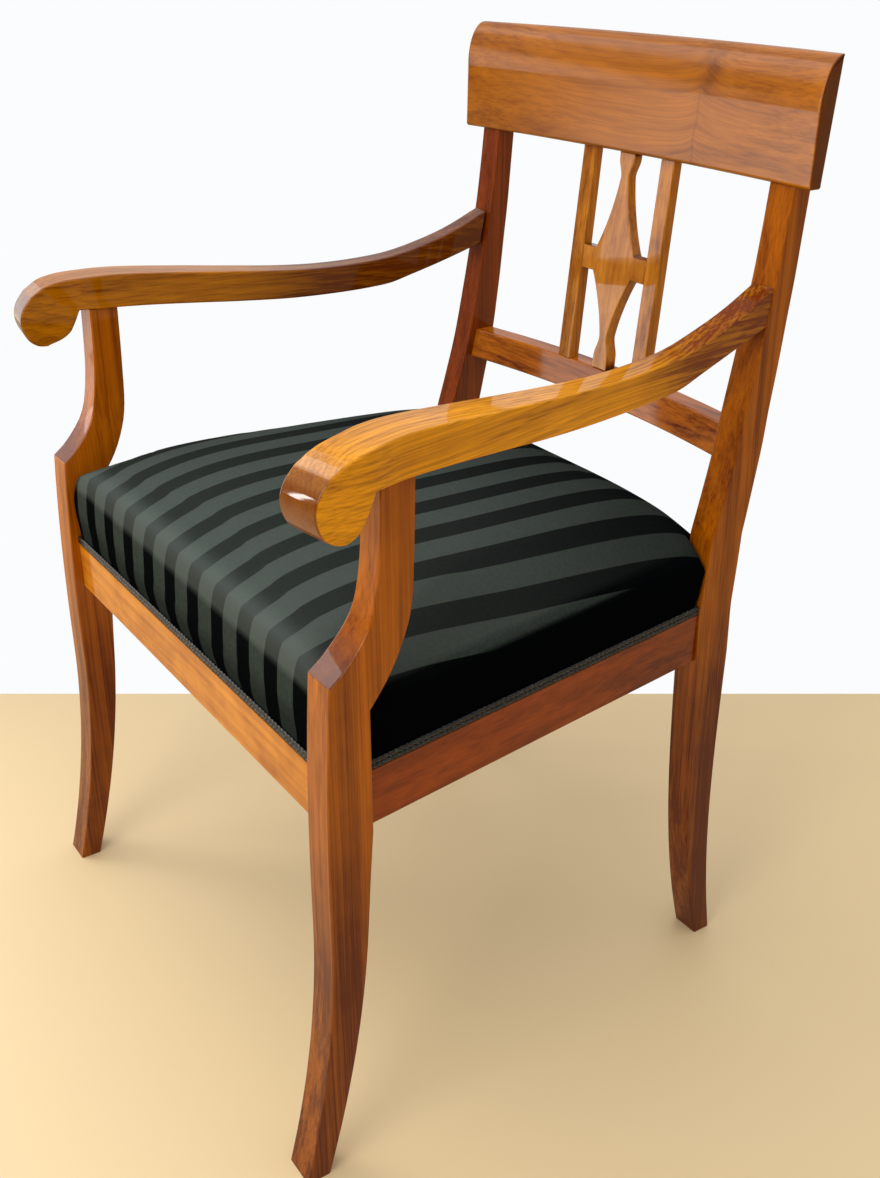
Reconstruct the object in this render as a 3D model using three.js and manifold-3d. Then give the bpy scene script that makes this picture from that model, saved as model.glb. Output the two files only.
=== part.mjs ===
// An upholstered dining armchair in varnished cherry. Sabre front legs run up into the arm
// supports, raked back legs run up into the back posts, and between the posts stands an open
// splat: two bars with a waisted, fretsawn figure, after the outline of a lyre. Every piece is
// made as a joiner makes it, with tenons, mortises, dowels, glued corner blocks and screws, and
// the stuffed seat pad has its own frame and webbing. The chair has no moving parts.

import * as THREE from "three";
import { mergeVertices } from "three/addons/utils/BufferGeometryUtils.js";
import Module from "manifold-3d";

const wasm = await Module();
wasm.setup();

// Sizes are in millimetres. X runs across the chair, Y from its front to its back and Z up. Y is
// 0 at the front of the front legs and Z is 0 on the floor. Values and tables whose names end in
// Share or Shares hold shares of the sizes that they are used with.

// Fits and finish that the pieces have in common
const fit = 0.3; // clearance between pieces that meet, and round each tenon
const ease = 1.2; // width of the flat that eases each arris
const overrun = 4; // how far a cut runs past the face that it opens

// Seat frame
const seatTop = 400; // top of the rails above the floor
const seatDepth = 438.5; // from the front legs' front to the back legs' front
const railHeight = 50;
const railThick = 22;
const frontRailSet = 4; // front rail behind the legs' front
const backRailSet = 16.5; // back rail behind the back legs' front
const sideRailFrontInset = 10.3; // side rail's face inside the front leg's outer face
const sideRailBackInset = 2.4; // and inside the back leg's outer face
const railTenonHeight = 38;
const sideTenonThick = 8;
const sideTenonLong = 12;
const frontTenonThick = 10;
const frontTenonLong = 18;
const frontTenonSet = 4; // front rail's tenon behind the rail's face
const backTenonThick = 10;
const backTenonLong = 16;
const backTenonSet = 6;

// Front legs, with the arm supports that grow out of them
const frontSpan = 587; // over both front legs
const frontLegThick = 33.5;
const frontLegDepth = 35; // front to back at the seat
const frontFootDepth = 23;
const toeSweep = 42; // toe in front of the leg's front at the seat
const legHollow = 7; // how far the front swells forward below the seat
const kneeHeight = 260;
const cuspRise = 92; // pointed step in the front, above the rails
const kinkRise = 63; // where the rear edge turns back, above the rails
const armRise = 246; // underside of the arms above the rails
const supportSet = 48; // support's front behind the leg's front, under the arm
const supportDepth = 29.6;
const supportNarrow = 5; // thickness lost on the inner face, above the cusp
const supportNarrowShare = 0.45; // part of the support's height that it is lost over
const supportFrontShares = [
  [0, 0], [0.045, 0.19], [0.15, 0.5], [0.22, 0.66], [0.3, 0.78], [0.42, 0.87],
  [0.55, 0.93], [0.8, 0.98], [1, 1],
];
const supportRearShares = [
  [0, 0], [0.06, 0.2], [0.14, 0.43], [0.23, 0.63], [0.36, 0.84], [0.46, 0.92],
  [0.63, 0.96], [0.82, 0.985], [1, 1],
];
const armTenonWide = 12;
const armTenonDeep = 20;
const armTenonHigh = 15;

// Back legs, with the back posts that they run up into
const backSpan = 459; // over both posts
const postThick = 30;
const splay = 13.3; // how far the feet stand out sideways from the posts
const splayHeight = 589;
const splayPower = 1.5;
const backLegDepth = 42; // front to back at the seat
const backFootDepth = 20.6;
const heelSweep = 32; // how far the foot sweeps back
const heelPower = 3;
const taperPower = 0.8;
const backRise = 393; // underside of the crest rail above the seat rails
const postRake = 71; // how far the post leans back from the seat to the crest rail
const postTopDepth = 20.7;
const creaseShare = 0.19; // height where the straight block ends and the raked post begins
const creaseRakeShare = 0.127;
const postFrontShares = [
  [creaseShare, creaseRakeShare], [0.3, 0.3], [0.4, 0.445], [0.5, 0.557], [0.6, 0.668],
  [0.7, 0.77], [0.8, 0.868], [0.9, 0.94], [1, 1],
];
const postTaperShares = [
  [0, 0], [0.19, 0.09], [0.32, 0.27], [0.45, 0.42], [0.57, 0.57], [0.74, 0.8], [0.88, 0.94], [1, 1],
];

// Crest rail: a thin board, bowed backwards, with its top rolled over to a sharp rear edge
const crestOverhang = 22.9; // each end beyond the post's outer face
const crestHeight = 107;
const crestProud = 4; // face in front of the posts
const crestThick = 13.7; // at the lower edge, where the posts are
const crestSwell = 4; // extra thickness in the middle, for the splat's tenons
const crestTop = 25.2; // rear edge of the top behind the face's foot
const crestFaceLean = 2.4;
const crestRoll = 44; // height of the rolled top
const crestBowLow = 13; // how far the middle lies behind the ends, along the lower edge
const crestBowHigh = 21; // and along the top
const tongueHeight = 82; // part of each post that runs up behind the crest rail
const tongueBevel = 8;

// Cross rail, bowed like the crest rail
const crossRise = 143; // its underside above the seat rails
const crossHeight = 31.5;
const crossDepth = 22;
const crossSet = 8; // face behind the posts' front
const crossBow = 17;
const crossTenonThick = 10;
const crossTenonHigh = 20;
const crossTenonLong = 14;

// Splat
const splatThickFoot = 13;
const splatThickTop = 10;
const splatProudFoot = 1.5; // face in front of the cross rail's, in the middle
const splatSetTop = 6; // face behind the crest rail's, in the middle
const barGap = 96; // between the bars
const barWide = 20;
const splatTenonWide = 12;
const splatTenonThick = 6;
const splatTenonLong = 11;
const figureCapWide = 22.6; // flat caps at the figure's two ends
const figureShoulderWide = 59;
const figureHead = { capHigh: 6, neckDrop: 18.4, neckWide: 12.4, flankShares: [0.22, 0.49] };
const figureFoot = { capHigh: 12, neckDrop: 22, neckWide: 12, flankShares: [0.22, 0.53] };
const earHigh = 23.5; // arms that reach across to the bars
const figureCoveShare = 0.4; // pull of the cove between each cap and its neck
const dowelRadius = 2.5;
const dowelLong = 16;

// Arms
const armRollRadius = 23.5;
const armRollSet = 8; // roll's centre behind the leg's front, on the arm's outer face
const armRollDrop = 8.5; // roll's centre below the arm's underside
const armRollShares = [
  [1.2, 0.47], [0.85, -0.27], [0.5, -0.79], [0.05, -1], [-0.37, -0.94], [-0.72, -0.68],
  [-0.94, -0.23], [-0.98, 0.25], [-0.82, 0.68], [-0.51, 1.06],
];
const armRollRootShares = [[0.2, 0.9], [1, 0.6]]; // part of the roll's outline inside the arm
const armStart = 12; // start of the arm's curves behind the leg's front, on its outer face
const armFrontReach = 19.1; // arm's outer face outside the leg's, at the roll
const armFrontWide = 41;
const armBackWide = 24;
const armBackInset = 1.5; // arm's outer face inside the post's
const armBackRise = 60.5; // arm's top at the post above its underside on the support
const armSkewShare = 0.148; // stations turned in plan, to lie square to the arm
const armOuterShares = [
  [0, 0], [0.04, 0.025], [0.09, 0.1], [0.18, 0.195], [0.3, 0.33], [0.41, 0.46], [0.52, 0.592],
  [0.63, 0.705], [0.75, 0.81], [0.88, 0.92], [1, 1],
];
const armWideShares = [
  [0, 1], [0.08, 1.08], [0.18, 0.94], [0.3, 0.71], [0.42, 0.49], [0.55, 0.31], [0.7, 0.17],
  [0.85, 0.1], [1, 0],
];
const armTopShares = [
  [-0.032, 0.287], [0, 0.44], [0.03, 0.503], [0.1, 0.552], [0.15, 0.55], [0.27, 0.48],
  [0.4, 0.387], [0.52, 0.31], [0.6, 0.287], [0.7, 0.312], [0.77, 0.372], [0.85, 0.527],
  [0.92, 0.711], [1, 1],
];
const armUnderShares = [
  [-0.04, 0], [0.06, 0], [0.13, 0], [0.2, -0.022], [0.3, -0.078], [0.4, -0.14], [0.52, -0.19],
  [0.63, -0.19], [0.71, -0.163], [0.76, -0.12], [0.81, -0.01], [0.87, 0.125], [0.93, 0.27],
  [1, 0.45],
];
const armStubThick = 12;
const armStubHigh = 18;
const armStubLong = 12;

// Corner blocks and screws under the seat
const blockSide = 70; // along each rail
const blockHeight = 37;
const blockDrop = 1.1; // block's top below the rails' top
const blockScrewSet = 16; // screw's place off the rail that runs across
const blockScrewAlong = 38; // and inwards from the block's outer corner
const seatScrewRadius = 2.2;
const seatScrewHead = 4.4;
const seatScrewLong = 50;
const screwHeadHigh = 3;
const crestScrewRadius = 1.8;
const crestScrewHead = 3.6;
const crestScrewLong = 18;
const crestScrewShares = [0.28, 0.72]; // places up the tongue

// Seat cushion: its plan, its drawn-in side and its crown
const padProud = 1; // cover outside the rails' faces
const padBackSet = 3; // cover inside the back rail's rear face
const padClear = 1; // gap to the legs and posts
const padSideHigh = 45; // where the upright side turns in, above the rails
const padEdgeHigh = 78.4; // height of the crown's edges above the rails
const padRake = 5.1; // front edge above the middle, and the middle above the back edge
const padCrown = 39.3;
const padFrontRadius = 9.2;
const padBackRadius = 52;
const padSideRadius = 72.7;
const padAcrossPower = 4.4;
const padFrontPower = 3.7;
const padBackPower = 5.2;
const padLift = 1; // cover's lower edge above the rails

// Braid along the cushion's lower edge
const gimpHigh = 9;
const gimpThick = 2.5;
const gimpProud = 0.5; // outside the rails' faces
const gimpRootShare = 0.4; // flat part of the braid under its two cords

// Pad frame, webbing and dust cover
const boardWide = 45;
const boardThick = 18;
const boardInset = 10; // inside the cushion's plan
const strapWide = 50;
const strapThick = 1;
const strapInset = 8; // strap's ends inside the frame's outer edge
const strapsLengthwise = 4;
const strapsAcross = 3;
const dustCoverThick = 0.8;

const cherry = new THREE.MeshStandardMaterial({ color: 0xb5651d, roughness: 0.22, metalness: 0 });
const beech = new THREE.MeshStandardMaterial({ color: 0xcaa472, roughness: 0.7, metalness: 0 });
const steel = new THREE.MeshStandardMaterial({ color: 0x8d8a84, roughness: 0.4, metalness: 1 });
const satin = new THREE.MeshStandardMaterial({ color: 0x16201d, roughness: 0.55, metalness: 0 });
const braid = new THREE.MeshStandardMaterial({ color: 0x0b0c0c, roughness: 0.6, metalness: 0 });
const jute = new THREE.MeshStandardMaterial({ color: 0x9a7d55, roughness: 0.95, metalness: 0 });
const lining = new THREE.MeshStandardMaterial({ color: 0x1d1d1f, roughness: 0.95, metalness: 0 });

// Helpers for curves, rings and solids

// A smooth curve through [place, value] pairs, as a function of the place.
function curveThrough(pairs) {
  const places = pairs.map((pair) => pair[0]);
  const values = pairs.map((pair) => pair[1]);
  const curve = new THREE.CubicInterpolant(places, values, 1, new Float64Array(1));
  return (place) => curve.evaluate(place)[0];
}

// Evenly spaced places from low up to, but not including, high.
function steps(low, high, count) {
  return Array.from({ length: count }, (_, i) => low + ((high - low) * i) / count);
}

// A rectangle with eased corners, anticlockwise in the plane of its two directions a and b.
function easedRing(a0, a1, b0, b1) {
  return [
    [a0 + ease, b0], [a1 - ease, b0], [a1, b0 + ease], [a1, b1 - ease],
    [a1 - ease, b1], [a0 + ease, b1], [a0, b1 - ease], [a0, b0 + ease],
  ];
}

// A closed skin over rings of points. The rings are convex and run anticlockwise, seen from
// the end of the piece that the last ring closes.
function loft(rings) {
  const count = rings[0].length;
  const last = (rings.length - 1) * count;
  const index = [];
  for (let i = 0; i < last; i += count) {
    for (let j = 0; j < count; j++) {
      const k = (j + 1) % count;
      index.push(i + j, i + k, i + count + k, i + j, i + count + k, i + count + j);
    }
  }
  for (let j = 1; j + 1 < count; j++) {
    index.push(0, j + 1, j, last, last + j, last + j + 1);
  }
  const places = rings.flat().flatMap((point) => point.toArray());
  const geometry = new THREE.BufferGeometry();
  geometry.setAttribute("position", new THREE.Float32BufferAttribute(places, 3));
  geometry.setIndex(index);
  return solidOf(geometry);
}

// The solid inside a closed geometry.
function solidOf(geometry) {
  const bare = new THREE.BufferGeometry();
  bare.setAttribute("position", geometry.getAttribute("position"));
  bare.setIndex(geometry.index);
  const merged = mergeVertices(bare);
  const mesh = new wasm.Mesh({
    numProp: 3,
    vertProperties: merged.attributes.position.array,
    triVerts: new Uint32Array(merged.index.array),
  });
  return new wasm.Manifold(mesh);
}

// A solid's faces as a geometry.
function geometryOf(solid) {
  const mesh = solid.getMesh();
  const geometry = new THREE.BufferGeometry();
  geometry.setAttribute("position", new THREE.BufferAttribute(mesh.vertProperties, 3));
  geometry.setIndex(new THREE.BufferAttribute(mesh.triVerts, 1));
  const faceted = geometry.toNonIndexed();
  faceted.computeVertexNormals();
  return faceted;
}

// The same geometry with each point put where the rule says.
function reshaped(geometry, rule) {
  const position = geometry.getAttribute("position");
  for (let i = 0; i < position.count; i++) {
    position.setXYZ(i, ...rule(position.getX(i), position.getY(i), position.getZ(i)));
  }
  return geometry;
}

function box(x0, x1, y0, y1, z0, z1) {
  const geometry = new THREE.BoxGeometry(x1 - x0, y1 - y0, z1 - z0);
  geometry.translate((x0 + x1) / 2, (y0 + y1) / 2, (z0 + z1) / 2);
  return solidOf(geometry);
}

// A flat plate with the given [x, y] corners, anticlockwise seen from above.
function prism(corners, z0, z1) {
  return loft([z0, z1].map((z) => corners.map(([x, y]) => new THREE.Vector3(x, y, z))));
}

// A turned piece standing on the origin, from [radius, height] points that start and end on its
// axis.
function turned(profile, sides) {
  const points = profile.map(([radius, height]) => new THREE.Vector2(radius, height));
  return new THREE.LatheGeometry(points, sides).rotateX(Math.PI / 2);
}

// Where the rails, legs and posts stand

const railUnder = seatTop - railHeight;
const tenonLow = seatTop - railHeight / 2 - railTenonHeight / 2;
const tenonTop = tenonLow + railTenonHeight;
const cuspHeight = seatTop + cuspRise;
const kinkHeight = seatTop + kinkRise;
const armUnder = seatTop + armRise;
const crestUnder = seatTop + backRise;
const crestPeak = crestUnder + crestHeight;
const crossUnder = seatTop + crossRise;
const crossOver = crossUnder + crossHeight;
const frontLegOuter = frontSpan / 2;
const frontLegInner = frontLegOuter - frontLegThick;
const postOuter = backSpan / 2;
const postInner = postOuter - postThick;
const postMiddle = postOuter - postThick / 2;
const frontRailRear = frontRailSet + railThick;
const backRailFront = seatDepth + backRailSet;
const backRailRear = backRailFront + railThick;

// Front legs

const supportFront = curveThrough(supportFrontShares);
const supportRear = curveThrough(supportRearShares);

function frontLegFront(z) {
  if (z > cuspHeight) return supportSet * supportFront((z - cuspHeight) / (armUnder - cuspHeight));
  const belly = Math.max(z - kneeHeight, 0) / (cuspHeight - kneeHeight);
  const toe = Math.max(kneeHeight - z, 0) / kneeHeight;
  return -legHollow * (1 - belly ** 2.5) - (toeSweep - legHollow) * toe ** 2;
}

function frontLegRear(z) {
  if (z > kinkHeight) {
    const share = supportRear((z - kinkHeight) / (armUnder - kinkHeight));
    return frontLegDepth + (supportSet + supportDepth - frontLegDepth) * share;
  }
  if (z > railUnder) return frontLegDepth;
  const growth = frontLegDepth - frontLegFront(railUnder) - frontFootDepth;
  return frontLegFront(z) + frontFootDepth + growth * (z / railUnder) ** 1.3;
}

function supportInset(z) {
  const share = (z - cuspHeight) / (armUnder - cuspHeight);
  return supportNarrow * THREE.MathUtils.smoothstep(share, 0, supportNarrowShare);
}

function frontLegBlank(grow) {
  const levels = [
    ...steps(0, railUnder, 11), railUnder, ...steps(seatTop, kinkHeight, 2),
    ...steps(kinkHeight, cuspHeight, 3), ...steps(cuspHeight, armUnder - fit, 13), armUnder - fit,
  ];
  return loft(levels.map((z) => {
    const ring = easedRing(frontLegInner + supportInset(z) - grow, frontLegOuter + grow,
      frontLegFront(z) - grow, frontLegRear(z) + grow);
    return ring.map(([x, y]) => new THREE.Vector3(x, y, z));
  }));
}

// Back legs. Each is one board: its side outline is sawn, and its face leans outwards to the foot.

const postFront = curveThrough(postFrontShares);
const postTaper = curveThrough(postTaperShares);
const crestBackLeanShare = (crestTop - crestThick) / crestHeight;
const tongueTop = crestUnder + tongueHeight;

function backLegSplay(z) {
  return splay * (1 - Math.min(z / splayHeight, 1) ** splayPower);
}

function backLegFront(z) {
  if (z < railUnder) return seatDepth + heelSweep * (1 - z / railUnder) ** heelPower;
  if (z > crestUnder) return backLegFront(crestUnder) + (z - crestUnder) * crestBackLeanShare;
  const share = Math.max(z - seatTop, 0) / backRise;
  const straight = (share * creaseRakeShare) / creaseShare;
  return seatDepth + postRake * (share < creaseShare ? straight : postFront(share));
}

function backLegRear(z) {
  if (z < railUnder) {
    const growth = (backLegDepth - backFootDepth) * (z / railUnder) ** taperPower;
    return backLegFront(z) + backFootDepth + growth;
  }
  if (z > crestUnder) return backLegRear(crestUnder) + (z - crestUnder) * crestBackLeanShare;
  const taper = postTaper(Math.max(z - seatTop, 0) / backRise);
  return backLegFront(z) + backLegDepth - (backLegDepth - postTopDepth) * taper;
}

function backLegBlank(grow) {
  const creaseHeight = seatTop + backRise * creaseShare;
  const levels = [
    ...steps(0, railUnder, 9), railUnder, seatTop, ...steps(creaseHeight, crestUnder, 14),
    crestUnder, tongueTop - tongueBevel, tongueTop,
  ];
  return loft(levels.map((z) => {
    const bevel = Math.max(z - tongueTop + tongueBevel, 0);
    const ring = easedRing(postInner + backLegSplay(z) - grow, postOuter + backLegSplay(z) + grow,
      backLegFront(z) - grow, backLegRear(z) - bevel + grow);
    return ring.map(([x, y]) => new THREE.Vector3(x, y, z));
  }));
}

// Seat rails. The side rails run from leg to leg along a slanting line, and the faces of the
// other pieces of the seat are worked out from that line.

const sideFaceFront = frontLegOuter - sideRailFrontInset;
const sideFaceBack = postOuter + backLegSplay(seatTop) - sideRailBackInset;
const sideSlope = (sideFaceFront - sideFaceBack) / (seatDepth - frontLegDepth);

function sideFace(y) {
  return sideFaceFront - sideSlope * (y - frontLegDepth);
}

// A board along the side line, between two depths under the side face, from y0 to y1.
function alongSide(outer, inner, y0, y1, z0, z1) {
  return prism([
    [sideFace(y0) - inner, y0], [sideFace(y0) - outer, y0],
    [sideFace(y1) - outer, y1], [sideFace(y1) - inner, y1],
  ], z0, z1);
}

const legDeep = frontLegDepth / 2;
const sideTenonDepth = (railThick - sideTenonThick) / 2;
const frontTenonFace = frontRailSet + frontTenonSet;
const backTenonFace = backRailFront + backTenonSet;
const backLegInnerSeat = postInner + backLegSplay((tenonLow + tenonTop) / 2);

function sideRail(grow) {
  return alongSide(-grow, railThick + grow, frontLegDepth + fit - grow, seatDepth - fit + grow,
    railUnder - grow, seatTop + grow);
}

function sideTenons(grow) {
  const outer = sideTenonDepth - grow;
  const inner = sideTenonDepth + sideTenonThick + grow;
  const reach = sideTenonLong + grow;
  const front = alongSide(outer, inner, frontLegDepth - reach, frontLegDepth + legDeep,
    tenonLow - grow, tenonTop + grow);
  const back = alongSide(outer, inner, seatDepth - legDeep, seatDepth + reach,
    tenonLow - grow, tenonTop + grow);
  return front.add(back);
}

function frontRail(grow) {
  return box(-frontLegInner + fit - grow, frontLegInner - fit + grow,
    frontRailSet - grow, frontRailRear + grow, railUnder - grow, seatTop + grow);
}

function frontTenons(grow) {
  const reach = frontLegInner + frontTenonLong + grow;
  return box(-reach, reach, frontTenonFace - grow, frontTenonFace + frontTenonThick + grow,
    tenonLow - grow, tenonTop + grow);
}

function backTenons(grow) {
  const reach = backLegInnerSeat + backTenonLong + grow;
  return box(-reach, reach, backTenonFace - grow, backTenonFace + backTenonThick + grow,
    tenonLow - grow, tenonTop + grow);
}

function bothSides(solid) {
  return solid.add(solid.mirror([1, 0, 0]));
}

const backLegsGrown = bothSides(backLegBlank(fit));
const backRail = box(-postMiddle, postMiddle, backRailFront, backRailRear, railUnder, seatTop)
  .subtract(backLegsGrown);

// Crest rail, cut across its length in sections. The bow is measured from the posts.

const crestFoot = backLegFront(crestUnder) - crestProud;
const crestHalf = postOuter + crestOverhang;
const crestRollStart = crestPeak - crestRoll;

function crestSection(x, grow) {
  const bowShare = (postMiddle ** 2 - x ** 2) / crestHalf ** 2;
  const swell = crestSwell * (1 - (x / crestHalf) ** 2);
  const rollDeep = crestTop - crestFaceLean + grow * 2;
  const rolled = steps(Math.PI / 2, 0, 7).map((angle) => [
    crestTop + grow - rollDeep * Math.cos(angle), crestRollStart + crestRoll * Math.sin(angle),
  ]);
  const outline = [
    [ease - grow, crestUnder - grow], [crestThick + swell - ease + grow, crestUnder - grow],
    [crestThick + swell + grow, crestUnder + ease], ...rolled,
    [crestFaceLean - grow, crestRollStart],
    [-grow, crestUnder + ease],
  ];
  return outline.map(([depth, z]) => {
    const heightShare = (z - crestUnder) / crestHeight;
    const bow = crestBowLow + (crestBowHigh - crestBowLow) * heightShare;
    return new THREE.Vector3(x, crestFoot + depth + bow * bowShare, z);
  });
}

function crestRail(grow) {
  const places = [...steps(-crestHalf, crestHalf, 18), crestHalf];
  return loft(places.map((x) => crestSection(x, grow)));
}

// Cross rail, bowed between the posts. Its tenons run straight into them.

const crossHalf = postInner;

function crossFace(x, z) {
  return backLegFront(z) + crossSet + crossBow * (1 - (x / crossHalf) ** 2);
}

function crossRailBlank() {
  const places = [...steps(-postMiddle, postMiddle, 16), postMiddle];
  return loft(places.map((x) => {
    const ring = easedRing(0, crossDepth, crossUnder, crossOver);
    return ring.map(([depth, z]) => new THREE.Vector3(x, crossFace(x, z) + depth, z));
  }));
}

function crossTenons(grow) {
  const middle = (crossUnder + crossOver) / 2;
  const centre = crossFace(crossHalf, middle) + crossDepth / 2;
  const reach = crossHalf + crossTenonLong + grow;
  return box(crossHalf - crossTenonLong, reach, centre - crossTenonThick / 2 - grow,
    centre + crossTenonThick / 2 + grow, middle - crossTenonHigh / 2 - grow,
    middle + crossTenonHigh / 2 + grow);
}

// Splat. Its face lies in one leaning plane, from the cross rail to the crest rail.

const splatFoot = crossOver + fit;
const splatHead = crestUnder - fit;
const splatMiddle = (splatFoot + splatHead) / 2;
const splatFaceFoot = crossFace(0, crossOver) - splatProudFoot;
const crestFaceMiddle = crestFoot + crestBowLow * (postMiddle / crestHalf) ** 2;
const splatFaceHead = crestFaceMiddle + splatSetTop;

function splatPlace(z, depthShare) {
  const share = (z - splatFoot) / (splatHead - splatFoot);
  const face = splatFaceFoot + (splatFaceHead - splatFaceFoot) * share;
  return face + (splatThickFoot + (splatThickTop - splatThickFoot) * share) * depthShare;
}

function splatTenon(x, z0, z1, grow) {
  const centre = splatPlace((z0 + z1) / 2, 0.5);
  return box(x - splatTenonWide / 2 - grow, x + splatTenonWide / 2 + grow,
    centre - splatTenonThick / 2 - grow, centre + splatTenonThick / 2 + grow, z0 - grow, z1 + grow);
}

function splatTenons(x, grow) {
  const low = splatTenon(x, splatFoot - fit - splatTenonLong, splatFoot + splatTenonLong, grow);
  return low.add(splatTenon(x, splatHead - splatTenonLong, splatHead + fit + splatTenonLong, grow));
}

const barMiddle = barGap / 2 + barWide / 2;

function splatBar() {
  return loft([splatFoot, splatHead].map((z) => {
    const ring = easedRing(barGap / 2, barGap / 2 + barWide, splatPlace(z, 0), splatPlace(z, 1));
    return ring.map(([x, y]) => new THREE.Vector3(x, y, z));
  }));
}

// One quarter of the figure's outline, from the ear's end to the head or foot: a flat ear, a
// hollow flank that runs to the neck, a cove and the cap. The left half mirrors the right half.
function figureQuarter({ capHigh, neckDrop, neckWide, flankShares }) {
  const halfHigh = splatHead - splatMiddle;
  const capLow = halfHigh - capHigh;
  const neckHigh = capLow - neckDrop;
  const neck = neckWide / 2;
  const cap = figureCapWide / 2;
  const shoulder = figureShoulderWide / 2;
  const [across, up] = flankShares;
  const cove = neckDrop * figureCoveShare;
  const path = new THREE.Path();
  path.moveTo(barGap / 2 - fit, earHigh / 2);
  path.lineTo(shoulder, earHigh / 2);
  path.quadraticCurveTo(neck + (shoulder - neck) * across,
    earHigh / 2 + (neckHigh - earHigh / 2) * up, neck, neckHigh);
  path.bezierCurveTo(neck, neckHigh + cove, cap, capLow - cove, cap, capLow);
  path.lineTo(cap, halfHigh);
  return path.getPoints(9);
}

function splatFigure() {
  const foot = figureQuarter(figureFoot).map((p) => new THREE.Vector2(p.x, -p.y));
  const right = [...foot.toReversed(), ...figureQuarter(figureHead)];
  const outline = [...right, ...right.toReversed().map((p) => new THREE.Vector2(-p.x, p.y))];
  const bevel = { bevelThickness: ease, bevelSize: ease, bevelOffset: -ease, bevelSegments: 1 };
  const depth = splatThickFoot - ease * 2;
  const board = new THREE.ExtrudeGeometry(new THREE.Shape(outline), { depth, ...bevel });
  return solidOf(reshaped(board, (x, up, deep) => {
    const z = splatMiddle + up;
    return [-x, splatPlace(z, (deep + ease) / splatThickFoot), z];
  }));
}

function splatDowel(grow) {
  const radius = dowelRadius + grow;
  const long = dowelLong + grow * 2;
  const peg = turned([[0, 0], [radius, 0], [radius, long], [0, long]], 12).rotateY(Math.PI / 2);
  return solidOf(peg.translate(barGap / 2 - long / 2, splatPlace(splatMiddle, 0.5), splatMiddle));
}

// Arms. The top, the underside and the plan of the arm are curves along its length, and the roll
// at its front is a sawn scroll as wide as the arm.

const armOuterFront = frontLegOuter + armFrontReach;
const armOuterBack = postOuter - armBackInset;
const armEnd = backLegFront(armUnder + armBackRise);
const armOuter = curveThrough(armOuterShares);
const armWide = curveThrough(armWideShares);
const armTop = curveThrough(armTopShares);
const armUnderside = curveThrough(armUnderShares);
const armStationShares = [
  armTopShares[0][0], -0.016, 0, 0.02, 0.045, 0.075, ...steps(0.11, 0.75, 14),
  ...steps(0.75, 1, 8), 1, 1.03,
];

function armSection(share) {
  const outer = armOuterFront + (armOuterBack - armOuterFront) * armOuter(share);
  const inner = outer - armBackWide - (armFrontWide - armBackWide) * armWide(share);
  const ring = easedRing(armUnder + armBackRise * armUnderside(share),
    armUnder + armBackRise * armTop(share), inner, outer);
  const y = armStart + (armEnd - armStart) * share;
  return ring.map(([z, x]) => new THREE.Vector3(x, y + armSkewShare * (x - outer), z));
}

function armRoll() {
  const [round, root] = [armRollShares, armRollRootShares].map((shares) => shares.map(([y, z]) => {
    return new THREE.Vector2(y * armRollRadius, z * armRollRadius);
  }));
  const rim = new THREE.SplineCurve(round).getPoints(27);
  const outline = new THREE.Shape([...rim, ...root]);
  const bevel = { bevelThickness: ease, bevelSize: ease, bevelOffset: -ease, bevelSegments: 1 };
  const roll = new THREE.ExtrudeGeometry(outline, { depth: armFrontWide - ease * 2, ...bevel });
  return solidOf(reshaped(roll, (y, z, across) => {
    const inwards = across + ease - armFrontWide;
    return [
      armOuterFront + inwards, armRollSet + y + armSkewShare * inwards, armUnder - armRollDrop + z,
    ];
  }));
}

const armStubHeight = armUnder + armBackRise * (armTop(1) + armUnderside(1)) / 2;
const armStubMiddle = armOuterBack - armBackWide / 2;

function armStub(grow) {
  const face = backLegFront(armStubHeight);
  return box(armStubMiddle - armStubThick / 2 - grow, armStubMiddle + armStubThick / 2 + grow,
    face - armStubLong, face + armStubLong + grow,
    armStubHeight - armStubHigh / 2 - grow, armStubHeight + armStubHigh / 2 + grow);
}

const supportMiddle = supportSet + supportDepth / 2;
const supportAcross = frontLegOuter - (frontLegThick - supportNarrow) / 2;

function armTenon(grow) {
  return box(supportAcross - armTenonWide / 2 - grow, supportAcross + armTenonWide / 2 + grow,
    supportMiddle - armTenonDeep / 2 - grow, supportMiddle + armTenonDeep / 2 + grow,
    armUnder - fit - armTenonHigh, armUnder + armTenonHigh + grow);
}

function arm() {
  return loft(armStationShares.map(armSection)).add(armRoll()).subtract(backLegBlank(fit))
    .add(armStub(0)).subtract(armTenon(fit));
}

// Screws. Each has a flat head and a plain shank, and its hole is the same shape, grown.

function screw(head, radius, long, grow) {
  return turned([
    [0, -grow], [head + grow, -grow], [head + grow, 0], [radius + grow, screwHeadHigh],
    [radius + grow, long], [0, long + grow],
  ], 12);
}

const blockTop = seatTop - blockDrop;
const blockUnder = blockTop - blockHeight;
const frontScrewPlace = [frontLegInner - blockScrewAlong, frontRailRear + blockScrewSet];
const backScrewPlace = [backLegInnerSeat - blockScrewAlong, backRailFront - blockScrewSet];

function seatScrew([x, y], grow) {
  const body = screw(seatScrewHead, seatScrewRadius, seatScrewLong, grow);
  return solidOf(body.translate(x, y, blockUnder));
}

function crestScrew(share, grow) {
  const z = crestUnder + tongueHeight * share;
  const body = screw(crestScrewHead, crestScrewRadius, crestScrewLong, grow);
  return solidOf(body.rotateX(Math.PI / 2).translate(postMiddle, backLegRear(z), z));
}

// Corner blocks: a triangle in plan, cut to clear the leg that stands in its corner.

function frontBlock() {
  const front = frontRailRear + fit;
  return prism([
    [frontLegInner - blockSide, front], [sideFace(front) - railThick - fit, front],
    [sideFace(front + blockSide) - railThick - fit, front + blockSide],
  ], blockUnder, blockTop).subtract(frontLegBlank(fit)).subtract(seatScrew(frontScrewPlace, fit));
}

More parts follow.
